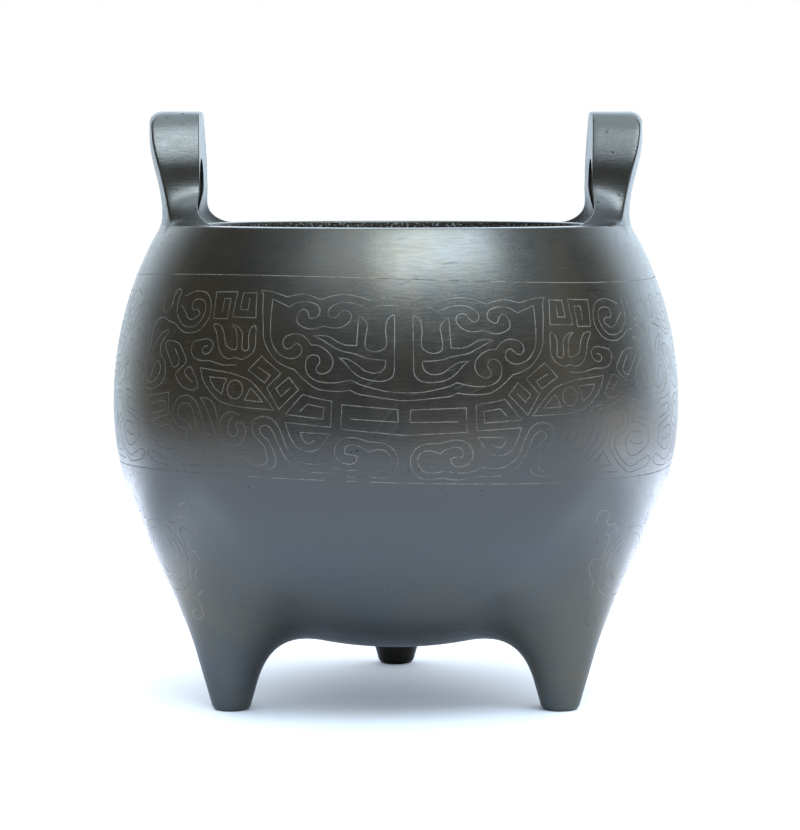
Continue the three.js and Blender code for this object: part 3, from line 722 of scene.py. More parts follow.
CREST = [
    (40.2, 130.6), (38.5, 130.5), (37.3, 128.2), (36.7, 125.2), (35.9, 123.7), (33.9, 123), (33.9, 126.2),
    (34.5, 129.2), (35.7, 130.8, SHARP), (34.5, 130.5), (33.3, 129.2), (32.7, 127.2), (32.6, 123.7),
    (31.9, 122.7), (31, 123.4), (31.2, 125.7), (31.3, 128.7), (30.5, 130.7), (29.9, 130.2), (29.7, 127.2),
    (29.6, 124.2), (30.2, 121.9), (31.3, 120.7), (32.5, 120), (33.9, 120.6, SHARP), (35.3, 120),
    (36.7, 120.7), (37.9, 122.7), (38.6, 125.7), (39.2, 128.2),
]
BROW_SPIRAL = [
    (33.5, 118.2), (35.9, 118), (37, 118.1), (40.1, 119.2, SHARP), (42.6, 119.2), (44.5, 120.2),
    (45.4, 122.7), (44.8, 125), (42.9, 125.7), (41.2, 126.1), (39.9, 125.2), (39.6, 123.7), (40.4, 121.7),
    (41.7, 121.3), (42.4, 122.7), (41.8, 123.7), (41, 123.8),
]
EYE = [
    (42.3, 116.8, SHARP), (38.5, 116.2), (35.4, 115.7), (33, 114.9), (30.2, 113.4), (28.2, 110.7),
    (26.5, 107.7), (24.9, 104.4, SHARP), (27.3, 104.6), (31.6, 104.9), (35.9, 105.9), (38.2, 107.7),
    (40.2, 110.7), (41.4, 113.2),
]
PUPIL_PLACE = (33.5, 110.4)
PUPIL_RADIUS = 3.0
OUTER_LID = [(39.7, 114.1), (35.5, 113.7), (36.2, 111.2), (36.5, 108.8), (38.2, 110.4), (39.3, 112.4)]
INNER_LID = [(30, 111.1), (31.3, 107.2), (27.3, 106.8), (28.5, 108.9)]
BRIDGE_KEY = [
    (28.5, 117.7), (25.9, 115.3), (27, 112.9), (30.7, 116.7), (28, 121.2), (23.7, 116.1), (26.5, 111.4),
    (23.9, 104.7), (20, 111.1), (22, 114.9), (24.6, 111.2), (23.5, 108.8), (21.7, 111.6),
]
JAW_KEY = [
    (19.7, 104.3), (18.2, 106.7), (15, 105.8), (15.2, 102.2), (22.6, 103.2), (19.2, 109.7), (16.7, 108.7),
    (13.5, 107.9), (13.7, 99.7), (22.6, 100.7),
]
JAW_CURL = [
    (22.6, 100.7), (21.9, 97.2), (21.3, 95.2), (20.2, 92.9), (18.2, 91.8), (16.2, 92.6), (15, 94.9),
    (13.9, 97.6, SHARP), (19.6, 97.7, SHARP), (19.2, 95.7), (18.2, 94.3), (16.7, 95.4),
]
NOSE_BAR = [(0, 97.9), (11.8, 99.2), (11.6, 106.9), (1.2, 105.9), (1.1, 102), (10, 102.5)]
LONG_SCROLL = [
    (31.6, 89.2, SHARP), (30.7, 88.2), (29.6, 86.7), (27.9, 86.7), (26.6, 87.7), (26.7, 90.2), (27, 92.7),
    (28.2, 94.7), (29.3, 96.7), (29.5, 99.7), (29, 101.2), (27.3, 102.3), (25.6, 101.8), (24.2, 99.7),
    (23.3, 96.7), (22.5, 93.2), (21.3, 90.2), (19.3, 88.2), (17.3, 87.7), (15, 88.1, SHARP), (13, 86.7),
    (10.7, 86.2), (7.6, 86.7, SHARP), (5, 86.1), (3.3, 87), (2.5, 89.7), (3, 92.2), (4.7, 93.2),
    (6.7, 92.3, SHARP), (7.9, 93.7), (9.6, 94.5), (10.9, 93.7), (11, 91.5), (9.6, 91.2), (8.7, 90.5),
    (9.3, 88.7), (10.5, 88.2), (12.2, 89.2), (13, 91.7), (12.7, 94.2), (11.6, 96.2), (9.3, 96.7),
    (7.6, 96), (6.5, 95.5, SHARP), (3.9, 95.2), (2.2, 93.7), (1.3, 91.2), (1.3, 88.2), (2.2, 85.5),
    (3.9, 84.1), (7.3, 84.5, SHARP), (9.9, 84), (12.5, 84.5), (14.5, 85.2, SHARP), (17.3, 85.1),
    (19.3, 85.7), (21.6, 87.5), (23, 90.2), (24.2, 94.2), (25, 97.2), (25.9, 99), (26.9, 99.5),
    (27.9, 98.5), (27.6, 96.7), (26.2, 94.7), (25.3, 92.2), (24.7, 88.7), (25.3, 86.2), (27.3, 84.9),
    (29.3, 85.2), (31.6, 86.5, SHARP), (34.3, 86.5), (37, 87.7), (38.7, 90), (40.4, 92.7), (41.5, 94.2),
    (42.9, 97.7), (43.2, 100.7), (44.2, 104.2), (45.7, 105.3), (47.4, 104.5), (48.1, 102.2), (47.3, 100.2),
    (45.4, 99.2), (44.2, 97.2), (43.9, 94.7), (44.8, 91.7), (46.3, 89.2), (48.9, 86.2), (51, 84.5),
    (53.2, 84.6), (55.4, 85.1), (57.6, 85.7), (59.5, 87.7, SHARP), (58.2, 89.2), (56.7, 88.5),
    (54.8, 87.7), (52.6, 86.5), (50.7, 86.7), (48.5, 88.7), (46.7, 91.2), (45.7, 93.7), (45.7, 96.7),
    (47.9, 97.7), (49.3, 99.7), (49.5, 102.7), (48.7, 105.7), (47, 107.4), (45.1, 107.7), (43.2, 106.2),
    (42, 103.2), (41, 99.2), (40.1, 96.2), (38.5, 93.2), (36.7, 90.2), (34.5, 89), (33.6, 88.8),
]
CHEEK_LEAF = [
    (37, 98.7), (37.8, 102.7), (38.5, 105.7), (40.1, 107.2), (41.8, 107.3, SHARP), (40.7, 105.2),
    (39.5, 101.7), (38.5, 97.7), (37.3, 94.7), (35.7, 93), (33.9, 92.3), (32.2, 93.2), (31.2, 95.7),
    (30.9, 97.7), (31.6, 99.7), (32.6, 100), (33.2, 99), (32.7, 97.2), (33.3, 95.5), (34.5, 95.7),
    (35, 98.2), (34.6, 100.5), (33.9, 101.7),
]
CHEEK_TAIL = [(37, 98.7), (36.5, 101.2), (35.3, 102.7), (33.6, 103.2), (32.3, 102.3)]
EAR_SPIRAL = [
    (50.4, 139.5), (47.9, 140.9), (46, 141.2), (43.8, 140.5), (42.3, 138.2), (41.7, 135.2), (42, 132.2),
    (43.5, 129.2), (45.4, 128), (47.9, 127.9), (50.1, 129.2), (51.7, 130.7), (53.8, 131.4), (56.3, 132.5),
    (58.2, 131.7), (59.2, 129.2), (59.4, 126.2), (59.5, 122.2), (59.6, 117.7), (59.4, 113.7),
    (58.8, 112), (57.6, 111.2), (55.7, 112.5), (54.5, 115.2), (54.8, 117.7), (56, 118.3), (56.9, 116.7),
    (57.6, 113.5),
]
EAR_CURLS = [
    [
        (51.7, 133.7), (49.5, 130.7), (47.6, 129.7), (45.4, 130), (43.8, 132.2), (43.2, 135.2),
        (43.8, 137.7), (45.4, 138.6), (47, 138.2), (47.4, 136.7), (46.8, 135.1), (45.4, 135.3), (44.6, 134),
    ],
    [(50.9, 136.7), (48.9, 134.2), (47.9, 132.6), (46.4, 132.1), (44.6, 133.7)],
    [
        (52, 134.2), (52.3, 138.2), (52, 141), (52.9, 141.7), (54, 140.7), (54.3, 136.2), (55.7, 134.2),
        (57.1, 135), (57.6, 137.7), (58.4, 140), (59.4, 140.4),
    ],
]
EAR_HOLLOW = [
    (57.8, 121.7), (57.4, 124.2), (55.7, 127.2), (53.7, 128.7, SHARP), (53.5, 127.7), (55.1, 124.2),
    (55.1, 121.2), (53.2, 118.2), (52.6, 115.2), (53.2, 112.2), (55.1, 110), (57.3, 109.2), (59.3, 109.6),
]
EAR_KEYS = [
    (50.3, 122.7), (48.5, 118.7), (49.9, 116.6), (52, 120.2), (53.7, 124.2), (51.7, 125.1), (49.2, 124.2),
    (47.9, 122.2), (46.4, 118.7), (48.5, 115.7), (49.3, 114.2), (47.6, 111.2), (45.4, 109.8),
    (43.5, 109.7), (42.6, 111.2), (43.9, 114.7), (45.1, 117), (46.7, 115.2), (44.2, 112),
]
SIDE_KEY = [
    (58.4, 105.7), (57.6, 107), (54.2, 107.7), (50.9, 108.5, SHARP), (51.1, 101.2, SHARP), (54.5, 100),
    (57.3, 98.5, SHARP), (57.6, 94.7), (57.6, 93.2), (55.7, 91.5), (53.2, 90.1), (51, 90), (49.5, 92.7),
    (49, 95.2), (50.1, 97.5), (51.7, 98), (54.8, 97.2),
]
SIDE_INNER_KEY = [(57, 104.5), (52.3, 105.5), (52.4, 102.7), (57.3, 101.2)]
SIDE_DASH = [(50.4, 94.7), (53.2, 93.5), (55.4, 94)]
LOW_TRIANGLE = [(42.1, 92.2), (43.4, 90.2), (44.9, 87.5), (40.4, 87.5)]
LOW_LINES = [[(47.6, 85), (37.6, 85.6)], [(42, 91.2), (37, 85.7)]]

# The scroll over each leg, for one half: degrees from the leg's own direction, and height in millimetres.
LEG_OVALS = [
    [
        (0, 65.4), (2.6, 65), (4.8, 63.6), (6.9, 60.2), (8.1, 56.7), (8.4, 52), (7.6, 47.8), (5.6, 43.8),
        (2.2, 41.6), (0, 41.4),
    ],
    [(0, 62.9), (2.4, 62.4), (4.5, 61.2), (6.2, 58.2), (6.7, 54.5), (5.9, 49.2), (4.2, 46.1), (2.2, 44.6)],
    [(3.6, 59.4), (4.7, 56.6), (4.9, 53.2), (4.1, 49.9), (2.6, 47.9), (0.9, 47.4)],
]
LEG_WAVES = [
    [
        (14.2, 68.6), (14.2, 71.2), (12.7, 72.4), (10.6, 71.1), (11, 68.8), (10, 67), (8.2, 67.4),
        (7.3, 65, SHARP), (5.7, 65.4), (5.9, 67.4), (6.3, 69.2),
    ],
    [
        (14.2, 64.2), (14, 62.5), (12.9, 61.4), (11.7, 62.2), (10.1, 64), (8.9, 62.9), (8.7, 61.2), (9, 58.8),
        (8.7, 56.8), (9.8, 55.6), (11.4, 55.5), (11.8, 53.1), (11.1, 51), (9.1, 48), (8.6, 45.2),
    ],
    [
        (9.3, 42.2), (6.9, 39.7), (6.8, 37.3), (6.7, 34.9), (6.2, 32.9), (4.1, 31.5), (3.0, 32.9),
        (3.3, 34.1), (4.8, 35),
    ],
]


def lay_path(shell, path, azimuth, side, closed=False, straight=False):
    """Lays one wire from its path, at azimuth - side * degrees and at its height in millimetres."""
    body, _, inlay, _ = settings()
    runs, cornered = wire_runs(path, closed, straight)
    scale = np.array([np.radians(1.0) * body.belly_radius, MM])
    lines = []
    for run in runs:
        line = np.asarray(run, dtype=float)
        if closed and not cornered:
            line = smooth_loop(line[:-1])
        elif not straight and len(line) > 2:
            line = smooth_run(line)
        lines.append(even_steps(line * scale, inlay.step))
    line = np.concatenate([lines[0]] + [piece[1:] for piece in lines[1:]])
    line = line[:-1] if closed else line
    across = line[:, 0] / body.belly_radius
    lay_wire(shell, azimuth - side * across, line[:, 1], closed)


def smooth_loop(points):
    """Closed Catmull-Rom curve: points are repeated past both ends, and the run is cut back to one turn."""
    extra = 3
    curve = smooth_run(np.concatenate([points[-extra:], points, points[: extra + 1]]))
    return curve[extra * SPAN_STEPS : (extra + len(points)) * SPAN_STEPS + 1]


def circle_path(centre, radius, count=20):
    """Circle as a path: degrees are radius / belly radius, turned from radians."""
    body, _, _, _ = settings()
    angles = 2 * np.pi * np.arange(count) / count
    across = centre[0] + np.degrees(radius * MM / body.belly_radius) * np.cos(angles)
    return list(zip(across.tolist(), (centre[1] + radius * np.sin(angles)).tolist()))


def mask_pieces():
    """Name, paths, closed, straight and CAD name of each wire that a mask has on both sides."""
    return [
        ("horn", [HORN], True, False, None),
        ("brow_key", [BROW_KEY], False, True, None),
        ("crest", [CREST], True, False, None),
        ("brow_spiral", [BROW_SPIRAL], False, False, None),
        ("eye", [EYE], True, False, "eye"),
        ("pupil", [circle_path(PUPIL_PLACE, PUPIL_RADIUS)], True, False, "pupil"),
        ("lids", [OUTER_LID, INNER_LID], True, True, None),
        ("bridge_key", [BRIDGE_KEY], False, True, "bridge_key"),
        ("jaw_key", [JAW_KEY], False, True, None),
        ("jaw_curl", [JAW_CURL], False, False, None),
        ("long_scroll", [LONG_SCROLL], True, False, None),
        ("cheek_leaf", [CHEEK_LEAF, CHEEK_TAIL], False, False, None),
        ("ear_spiral", [EAR_SPIRAL] + EAR_CURLS, False, False, None),
        ("ear_hollow", [EAR_HOLLOW, EAR_KEYS], False, False, None),
        ("side_key", [SIDE_KEY, SIDE_INNER_KEY, SIDE_DASH], False, False, None),
        ("low_triangle", [LOW_TRIANGLE], True, True, None),
        ("low_lines", LOW_LINES, False, True, None),
    ]


def build_wires(name, paths, azimuth, sides, silver, nodes=(), closed=False, straight=False):
    """One piece of wires: each path laid on each side of an azimuth."""
    shell = Shell()
    for side in sides:
        for path in paths:
            lay_path(shell, path, azimuth, side, closed, straight)
    shell.build("inlay_" + name, [silver], nodes, WIRE_SHARP, WIRE_WELD)


def build_mask(label, degrees_round):
    """All wires of one mask, as one piece for each motif and side."""
    azimuth = np.radians(degrees_round)
    silver = silver_material()
    outer, inner = [mirrored(OUTER_CARTOUCHE)], [mirrored(INNER_CARTOUCHE)]
    build_wires(f"{label}_cartouche", outer, azimuth, [1], silver, [f"mask_{label}_cartouche"], closed=True)
    build_wires(f"{label}_inner_cartouche", inner, azimuth, [1], silver, closed=True)
    bar = [(-across, height) for across, height in reversed(NOSE_BAR[1:])] + NOSE_BAR
    build_wires(f"{label}_nose_bar", [bar], azimuth, [1], silver, [f"mask_{label}_nose_bar"], straight=True)
    for word, side in (("left", 1), ("right", -1)):
        for name, paths, closed, straight, cad in mask_pieces():
            nodes = [f"mask_{label}_{cad}_{word}"] if cad else []
            build_wires(f"{label}_{name}_{word}", paths, azimuth, [side], silver, nodes, closed, straight)


def build_border(name, height):
    """Border wire: a closed ring at one nominal height, with the inlay's slow stray."""
    body, _, inlay, _ = settings()
    count = int(round(2 * np.pi * body.belly_radius / inlay.step / BORDER_STEP))
    azimuth = 2 * np.pi * np.arange(count) / count
    shell = Shell()
    lay_wire(shell, azimuth, np.full(count, height), True)
    silver = silver_material("border_silver_wire", wear=0.46)
    shell.build("inlay_" + name, [silver], [name], WIRE_SHARP, WIRE_WELD)


def build_leg_scroll(label, azimuth):
    """Scroll over a leg: concentric ovals between waves, drawn on both sides of the leg's direction."""
    silver = silver_material("worn_silver_wire", wear=0.42)
    for name, paths in (("ovals", LEG_OVALS), ("waves", LEG_WAVES)):
        build_wires(f"leg_{label}_{name}", paths, azimuth, (1, -1), silver)


class Weave:
    """Short words for adding nodes to one tree."""

    def __init__(self, tree):
        self.tree = tree

    def node(self, kind, **values):
        """Adds a node and sets its properties."""
        node = self.tree.nodes.new(kind)
        for key, value in values.items():
            setattr(node, key, value)
        return node

    def link(self, source, target):
        """Joins an output to an input, or sets the input's value if the source is a number or colour."""
        if isinstance(source, bpy.types.NodeSocket):
            self.tree.links.new(source, target)
        else:
            target.default_value = source

    def coordinates(self, kind):
        """One output of the Texture Coordinate node, such as Object."""
        return self.node("ShaderNodeTexCoord").outputs[kind]

    def parts(self, vector):
        """X, Y and Z of a vector."""
        node = self.node("ShaderNodeSeparateXYZ")
        self.link(vector, node.inputs[0])
        return [node.outputs[axis] for axis in "XYZ"]

    def math(self, operation, a, b=0.0, clamp=False):
        """A Math node of two values."""
        node = self.node("ShaderNodeMath", operation=operation, use_clamp=clamp)
        self.link(a, node.inputs[0])
        self.link(b, node.inputs[1])
        return node.outputs[0]

    def product(self, *factors):
        """All factors multiplied."""
        result = factors[0]
        for factor in factors[1:]:
            result = self.math("MULTIPLY", result, factor)
        return result

    def total(self, *terms):
        """All terms added up."""
        result = terms[0]
        for term in terms[1:]:
            result = self.math("ADD", result, term)
        return result

    def line(self, value, slope, start):
        """start + slope * value."""
        node = self.node("ShaderNodeMath", operation="MULTIPLY_ADD")
        for source, target in zip((value, slope, start), node.inputs):
            self.link(source, target)
        return node.outputs[0]

    def length(self, vector):
        """Length of a vector."""
        node = self.node("ShaderNodeVectorMath", operation="LENGTH")
        self.link(vector, node.inputs[0])
        return node.outputs["Value"]

    def noise(self, vector, scale, detail=3.0, rough=0.55, distortion=0.0):
        """A Noise Texture's value on a vector, in features per metre."""
        node = self.node("ShaderNodeTexNoise")
        self.link(vector, node.inputs["Vector"])
        self.link(scale, node.inputs["Scale"])
        node.inputs["Detail"].default_value = detail
        node.inputs["Roughness"].default_value = rough
        node.inputs["Distortion"].default_value = distortion
        return node.outputs["Fac"]

    def ramp(self, value, start, end):
        """The smooth step S: 0 at start, 1 at end, held beyond both. The end may be the lower one."""
        node = self.node("ShaderNodeMapRange", interpolation_type="SMOOTHSTEP")
        self.link(value, node.inputs["Value"])
        self.link(start, node.inputs["From Min"])
        self.link(end, node.inputs["From Max"])
        return node.outputs["Result"]

    def stretch(self, vector, scale=(1.0, 1.0, 1.0), turn=(0.0, 0.0, 0.0)):
        """A vector scaled and turned, to draw a pattern out along an axis."""
        node = self.node("ShaderNodeMapping")
        self.link(vector, node.inputs["Vector"])
        node.inputs["Scale"].default_value = scale
        node.inputs["Rotation"].default_value = turn
        return node.outputs["Vector"]

    def mix(self, factor, a, b):
        """Colour a turning into b with the factor."""
        node = self.node("ShaderNodeMix", data_type="RGBA")
        self.link(factor, node.inputs["Factor"])
        self.link(a, node.inputs[6])
        self.link(b, node.inputs[7])
        return node.outputs[2]

    def mix_value(self, factor, a, b):
        """Number a turning into b with the factor."""
        node = self.node("ShaderNodeMix", data_type="FLOAT")
        self.link(factor, node.inputs["Factor"])
        self.link(a, node.inputs[2])
        self.link(b, node.inputs[3])
        return node.outputs[0]

    def mix_shader(self, factor, a, b):
        """Shader a turning into b with the factor."""
        node = self.node("ShaderNodeMixShader")
        for source, target in zip((factor, a, b), node.inputs):
            self.link(source, target)
        return node.outputs[0]

    def pattern(self, group, vector, **values):
        """A node group on a vector, with values for its other inputs."""
        node = self.node("ShaderNodeGroup", node_tree=group)
        self.link(vector, node.inputs["Vector"])
        for key, value in values.items():
            node.inputs[key].default_value = value
        return node.outputs

    def bump(self, height, strength, distance, shader):
        """Relief from a height, into a shader's normal."""
        node = self.node("ShaderNodeBump")
        node.inputs["Strength"].default_value = strength
        node.inputs["Distance"].default_value = distance
        self.link(height, node.inputs["Height"])
        self.link(node.outputs["Normal"], shader.inputs["Normal"])


def pattern_group(name, inputs, outputs, draw):
    """A shader node group, built once: a vector and floats go in, and draw(weave, inputs) gives floats."""
    if name in bpy.data.node_groups:
        return bpy.data.node_groups[name]
    tree = bpy.data.node_groups.new(name, "ShaderNodeTree")
    tree.interface.new_socket(name="Vector", in_out="INPUT", socket_type="NodeSocketVector")
    for label, default in inputs.items():
        socket = tree.interface.new_socket(name=label, in_out="INPUT", socket_type="NodeSocketFloat")
        socket.default_value = default
    for label in outputs:
        tree.interface.new_socket(name=label, in_out="OUTPUT", socket_type="NodeSocketFloat")
    entry, leave = tree.nodes.new("NodeGroupInput"), tree.nodes.new("NodeGroupOutput")
    weave = Weave(tree)
    for label, value in zip(outputs, draw(weave, entry.outputs)):
        weave.link(value, leave.inputs[label])
    return tree


def draw_mottle(weave, given):
    """Mottle of the patina: broad clouds, finer blotches and upright wipe marks, each 0 to 1."""
    place = given["Vector"]
    clouds = weave.noise(place, scale=22.0, detail=3.0, rough=0.5, distortion=0.4)
    blotches = weave.noise(place, scale=160.0, detail=4.0, rough=0.6, distortion=0.2)
    wipes = weave.noise(weave.stretch(place, (1.0, 1.0, 7.0)), scale=210.0, detail=5.0, rough=0.65)
    return weave.ramp(clouds, 0.32, 0.68), weave.ramp(blotches, 0.35, 0.7), weave.ramp(wipes, 0.3, 0.75)


def draw_pits(weave, given):
    """Small casting pits: dark cell middles of a Voronoi pattern, kept where a slow noise is high."""
    cells = weave.node("ShaderNodeTexVoronoi")
    weave.link(given["Vector"], cells.inputs["Vector"])
    weave.link(given["Scale"], cells.inputs["Scale"])
    near = weave.ramp(cells.outputs["Distance"], given["Size"], 0.0)
    slow = weave.noise(given["Vector"], scale=40.0, detail=2.0)
    patch = weave.ramp(slow, given["Spread"], weave.total(given["Spread"], 0.1))
    return [weave.product(near, patch)]


def draw_scratches(weave, given):
    """Fine scratches: narrow bands of stretched noise in two directions, 0 to 1."""
    bands = []
    for turn, draw_out in (((0.3, 0.2, 0.5), 30.0), ((1.2, 0.4, 0.1), 24.0)):
        turned = weave.stretch(given["Vector"], turn=turn)
        line = weave.noise(weave.stretch(turned, (1.0, 1.0, draw_out)), scale=60.0, detail=2.0, rough=0.4)
        bands.append(weave.ramp(line, 0.715, 0.745))
    return [weave.math("MAXIMUM", *bands)]


def mottle_group():
    """The mottle as a node group."""
    return pattern_group("patina_mottle", {}, ["Clouds", "Blotches", "Wipes"], draw_mottle)


def pits_group():
    """The casting pits as a node group."""
    return pattern_group("casting_pits", {"Scale": 260.0, "Size": 0.16, "Spread": 0.6}, ["Pits"], draw_pits)


def scratch_group():
    """The scratches as a node group."""
    return pattern_group("fine_scratches", {}, ["Scratches"], draw_scratches)


def rgba(colour):
    """A colour with its alpha of 1."""
    return (*colour, 1.0)


def new_material(name):
    """An empty material with a Principled BSDF, and the weave of its tree."""
    material = bpy.data.materials.new(name)
    material.use_nodes = True
    tree = material.node_tree
    return material, tree.nodes["Principled BSDF"], Weave(tree)


def painted_shade_mask(weave, place):
    """Painted shade, 0 to 1: 0.88 S(y) S(-z) on the back foot, and a film of 0.45 S(-|x|) S(-z) under the
    bowl.
    """
    across, back, height = weave.parts(place)
    behind = weave.product(weave.ramp(back, 0.0, 45 * MM), weave.ramp(height, 60 * MM, 25 * MM), 0.88)
    middle = weave.ramp(weave.math("ABSOLUTE", across), 46 * MM, 34 * MM)
    under = weave.product(middle, weave.ramp(height, 38 * MM, 27 * MM), 0.45)
    return weave.math("MAXIMUM", behind, under)


def rub_mask(weave, place, mottle, rub):
    """Where the patina is rubbed thin: rub (clouds + 0.4 blotches), but for a cool band 70 mm up."""
    height = weave.parts(place)[2]
    from_band = weave.math("ABSOLUTE", weave.math("SUBTRACT", height, 70 * MM))
    broad, fine = weave.product(mottle["Clouds"], rub), weave.product(mottle["Blotches"], 0.4 * rub)
    return weave.product(weave.math("ADD", broad, fine, clamp=True), weave.ramp(from_band, 6 * MM, 34 * MM))


def cast_bronze(name, rub, rough, pit_size, pit_spread, relief, brush=0.12):
    """Patinated bronze: two browns mixed by mottle, painted shade, uneven shine, grain, casting pits and
    scratches.
    """
    if name in bpy.data.materials:
        return bpy.data.materials[name]
    _, _, _, finish = settings()
    material, shader, weave = new_material(name)
    place = weave.coordinates("Object")
    mottle = weave.pattern(mottle_group(), place)
    wipes, blotches = mottle["Wipes"], mottle["Blotches"]
    pits = weave.pattern(pits_group(), place, Size=pit_size, Spread=pit_spread)["Pits"]
    scratches = weave.pattern(scratch_group(), place)["Scratches"]

    colour = weave.mix(rub_mask(weave, place, mottle, rub), rgba(finish.bronze), rgba(finish.warm_bronze))
    # Painted shade: near-black on the back foot and a dark film under the bowl.
    colour = weave.mix(painted_shade_mask(weave, place), colour, PAINTED_SHADE)
    colour = weave.mix(weave.product(pits, 0.85), colour, PIT_SHADE)
    weave.link(colour, shader.inputs["Base Color"])
    shader.inputs["Metallic"].default_value = 1.0

    dull = weave.total(weave.line(wipes, 0.07, rough), weave.product(blotches, 0.04))
    dull = weave.total(dull, weave.product(scratches, 0.12))
    weave.link(weave.math("ADD", dull, weave.product(pits, 0.3), clamp=True), shader.inputs["Roughness"])

    dents = weave.product(weave.noise(place, scale=34.0, detail=2.0, rough=0.4), 1.6)
    grain = weave.product(weave.noise(place, scale=1100.0, detail=3.0, rough=0.6), 0.16)
    raised = weave.total(dents, weave.product(wipes, brush), grain)
    sunk = weave.total(weave.product(pits, 1.1), weave.product(scratches, 0.10))
    weave.bump(weave.math("SUBTRACT", raised, sunk), relief, 0.2 * MM, shader)
    return material


def bowl_material():
    """The bowl's dark olive bronze, satin and lightly wiped."""
    return cast_bronze("bowl_bronze", rub=0.5, rough=0.27, pit_size=0.14, pit_spread=0.58, relief=0.4)


def foot_material():
    """The feet's warmer bronze, more rubbed."""
    return cast_bronze("foot_bronze", rub=0.8, rough=0.30, pit_size=0.12, pit_spread=0.6, relief=0.4)


def ear_material():
    """The ears' bronze, with more casting pits."""
    return cast_bronze(
        "ear_bronze", rub=0.1, rough=0.31, pit_size=0.2, pit_spread=0.42, relief=0.5, brush=0.2
    )


def interior_material():
    """The bowl's inside: rough, dark cast metal, with pale grains that stand out more towards the rim."""
    name = "rough_inside"
    if name in bpy.data.materials:
        return bpy.data.materials[name]
    _, _, _, finish = settings()
    material, shader, weave = new_material(name)
    place = weave.coordinates("Object")
    grit = weave.noise(place, scale=1300.0, detail=5.0, rough=0.7)
    lumps = weave.noise(place, scale=260.0, detail=4.0, rough=0.6)
    towards_rim = weave.line(weave.ramp(weave.parts(place)[2], 125 * MM, 158 * MM), 0.7, 0.3)
    speckle = weave.product(weave.ramp(grit, 0.52, 0.62), towards_rim)
    colour = weave.mix(speckle, rgba(finish.old_bronze), PALE_SPECKLE)
    colour = weave.mix(weave.ramp(lumps, 0.48, 0.7), colour, DARK_LUMP)
    weave.link(colour, shader.inputs["Base Color"])
    weave.link(weave.line(grit, 0.35, 0.38), shader.inputs["Roughness"])
    shader.inputs["Metallic"].default_value = 0.8
    weave.bump(weave.total(weave.product(grit, 0.5), lumps), 0.8, 0.5 * MM, shader)
    return material


def wire_shade_mask(weave, place):
    """Painted shade on the wires of both flanks: S(|x|) from 34 to 58 mm, and full from 84 to 98 mm up."""
    across, _, height = weave.parts(place)
    flank = weave.ramp(weave.math("ABSOLUTE", across), 34 * MM, 58 * MM)
    return weave.product(flank, weave.ramp(height, 124 * MM, 98 * MM), weave.ramp(height, 76 * MM, 84 * MM))


def silver_material(name="tarnished_silver_wire", wear=0.5):
    """Silver wire: dull where tarnished, and bronze shows where a noise passes the wear, and as painted shade
    low on both flanks.
    """
    if name in bpy.data.materials:
        return bpy.data.materials[name]
    _, _, _, finish = settings()
    material, shader, weave = new_material(name)
    place = weave.coordinates("Object")
    dull = weave.ramp(weave.noise(place, scale=120.0, detail=3.0, rough=0.6), 0.42, 0.66)
    worn = weave.ramp(weave.noise(place, scale=330.0, detail=3.0, rough=0.6), 1.02 - wear, 1.14 - wear)
    # Painted shade: the wires are dimmed towards bronze low on both flanks; the noise gives real wear.
    shaded_wires = weave.product(wire_shade_mask(weave, place), 0.85)
    wear_and_shade = weave.math("MAXIMUM", weave.product(worn, 0.7), shaded_wires)
    colour = weave.mix(dull, rgba(finish.silver), rgba(finish.tarnish))
    weave.link(weave.mix(wear_and_shade, colour, rgba(finish.bronze)), shader.inputs["Base Color"])
    weave.link(weave.line(dull, 0.12, 0.62), shader.inputs["Roughness"])
    shader.inputs["Metallic"].default_value = 0.9
    return material


def reflected_glow(weave, place, reach):
    """Strength that the paper adds in reflections: 0.22 + S(t) (0.6 + 2.1 S(-r)) + 1.2 flank.

    t = y + x / 4 + |x| / 10 grows beside and behind the censer, from 0 to 0.26 m, and r is the distance
    from the axis, from 0.62 down to 0.4 m. The flank is the paper close beside the legs.
    """
    across, back, _ = weave.parts(place)
    aside = weave.math("ABSOLUTE", across)
    beside = weave.total(back, weave.product(across, 0.25), weave.product(aside, 0.1))
    close = weave.line(weave.ramp(reach, 0.62, 0.4), 2.1, 0.6)
    flank = weave.product(weave.ramp(aside, 0.08, 0.14), weave.ramp(reach, 0.26, 0.18))
    flank = weave.product(flank, weave.ramp(back, -0.085, -0.02), 1.2)
    return weave.total(weave.product(weave.ramp(beside, 0.0, 0.26), close), flank, 0.22)


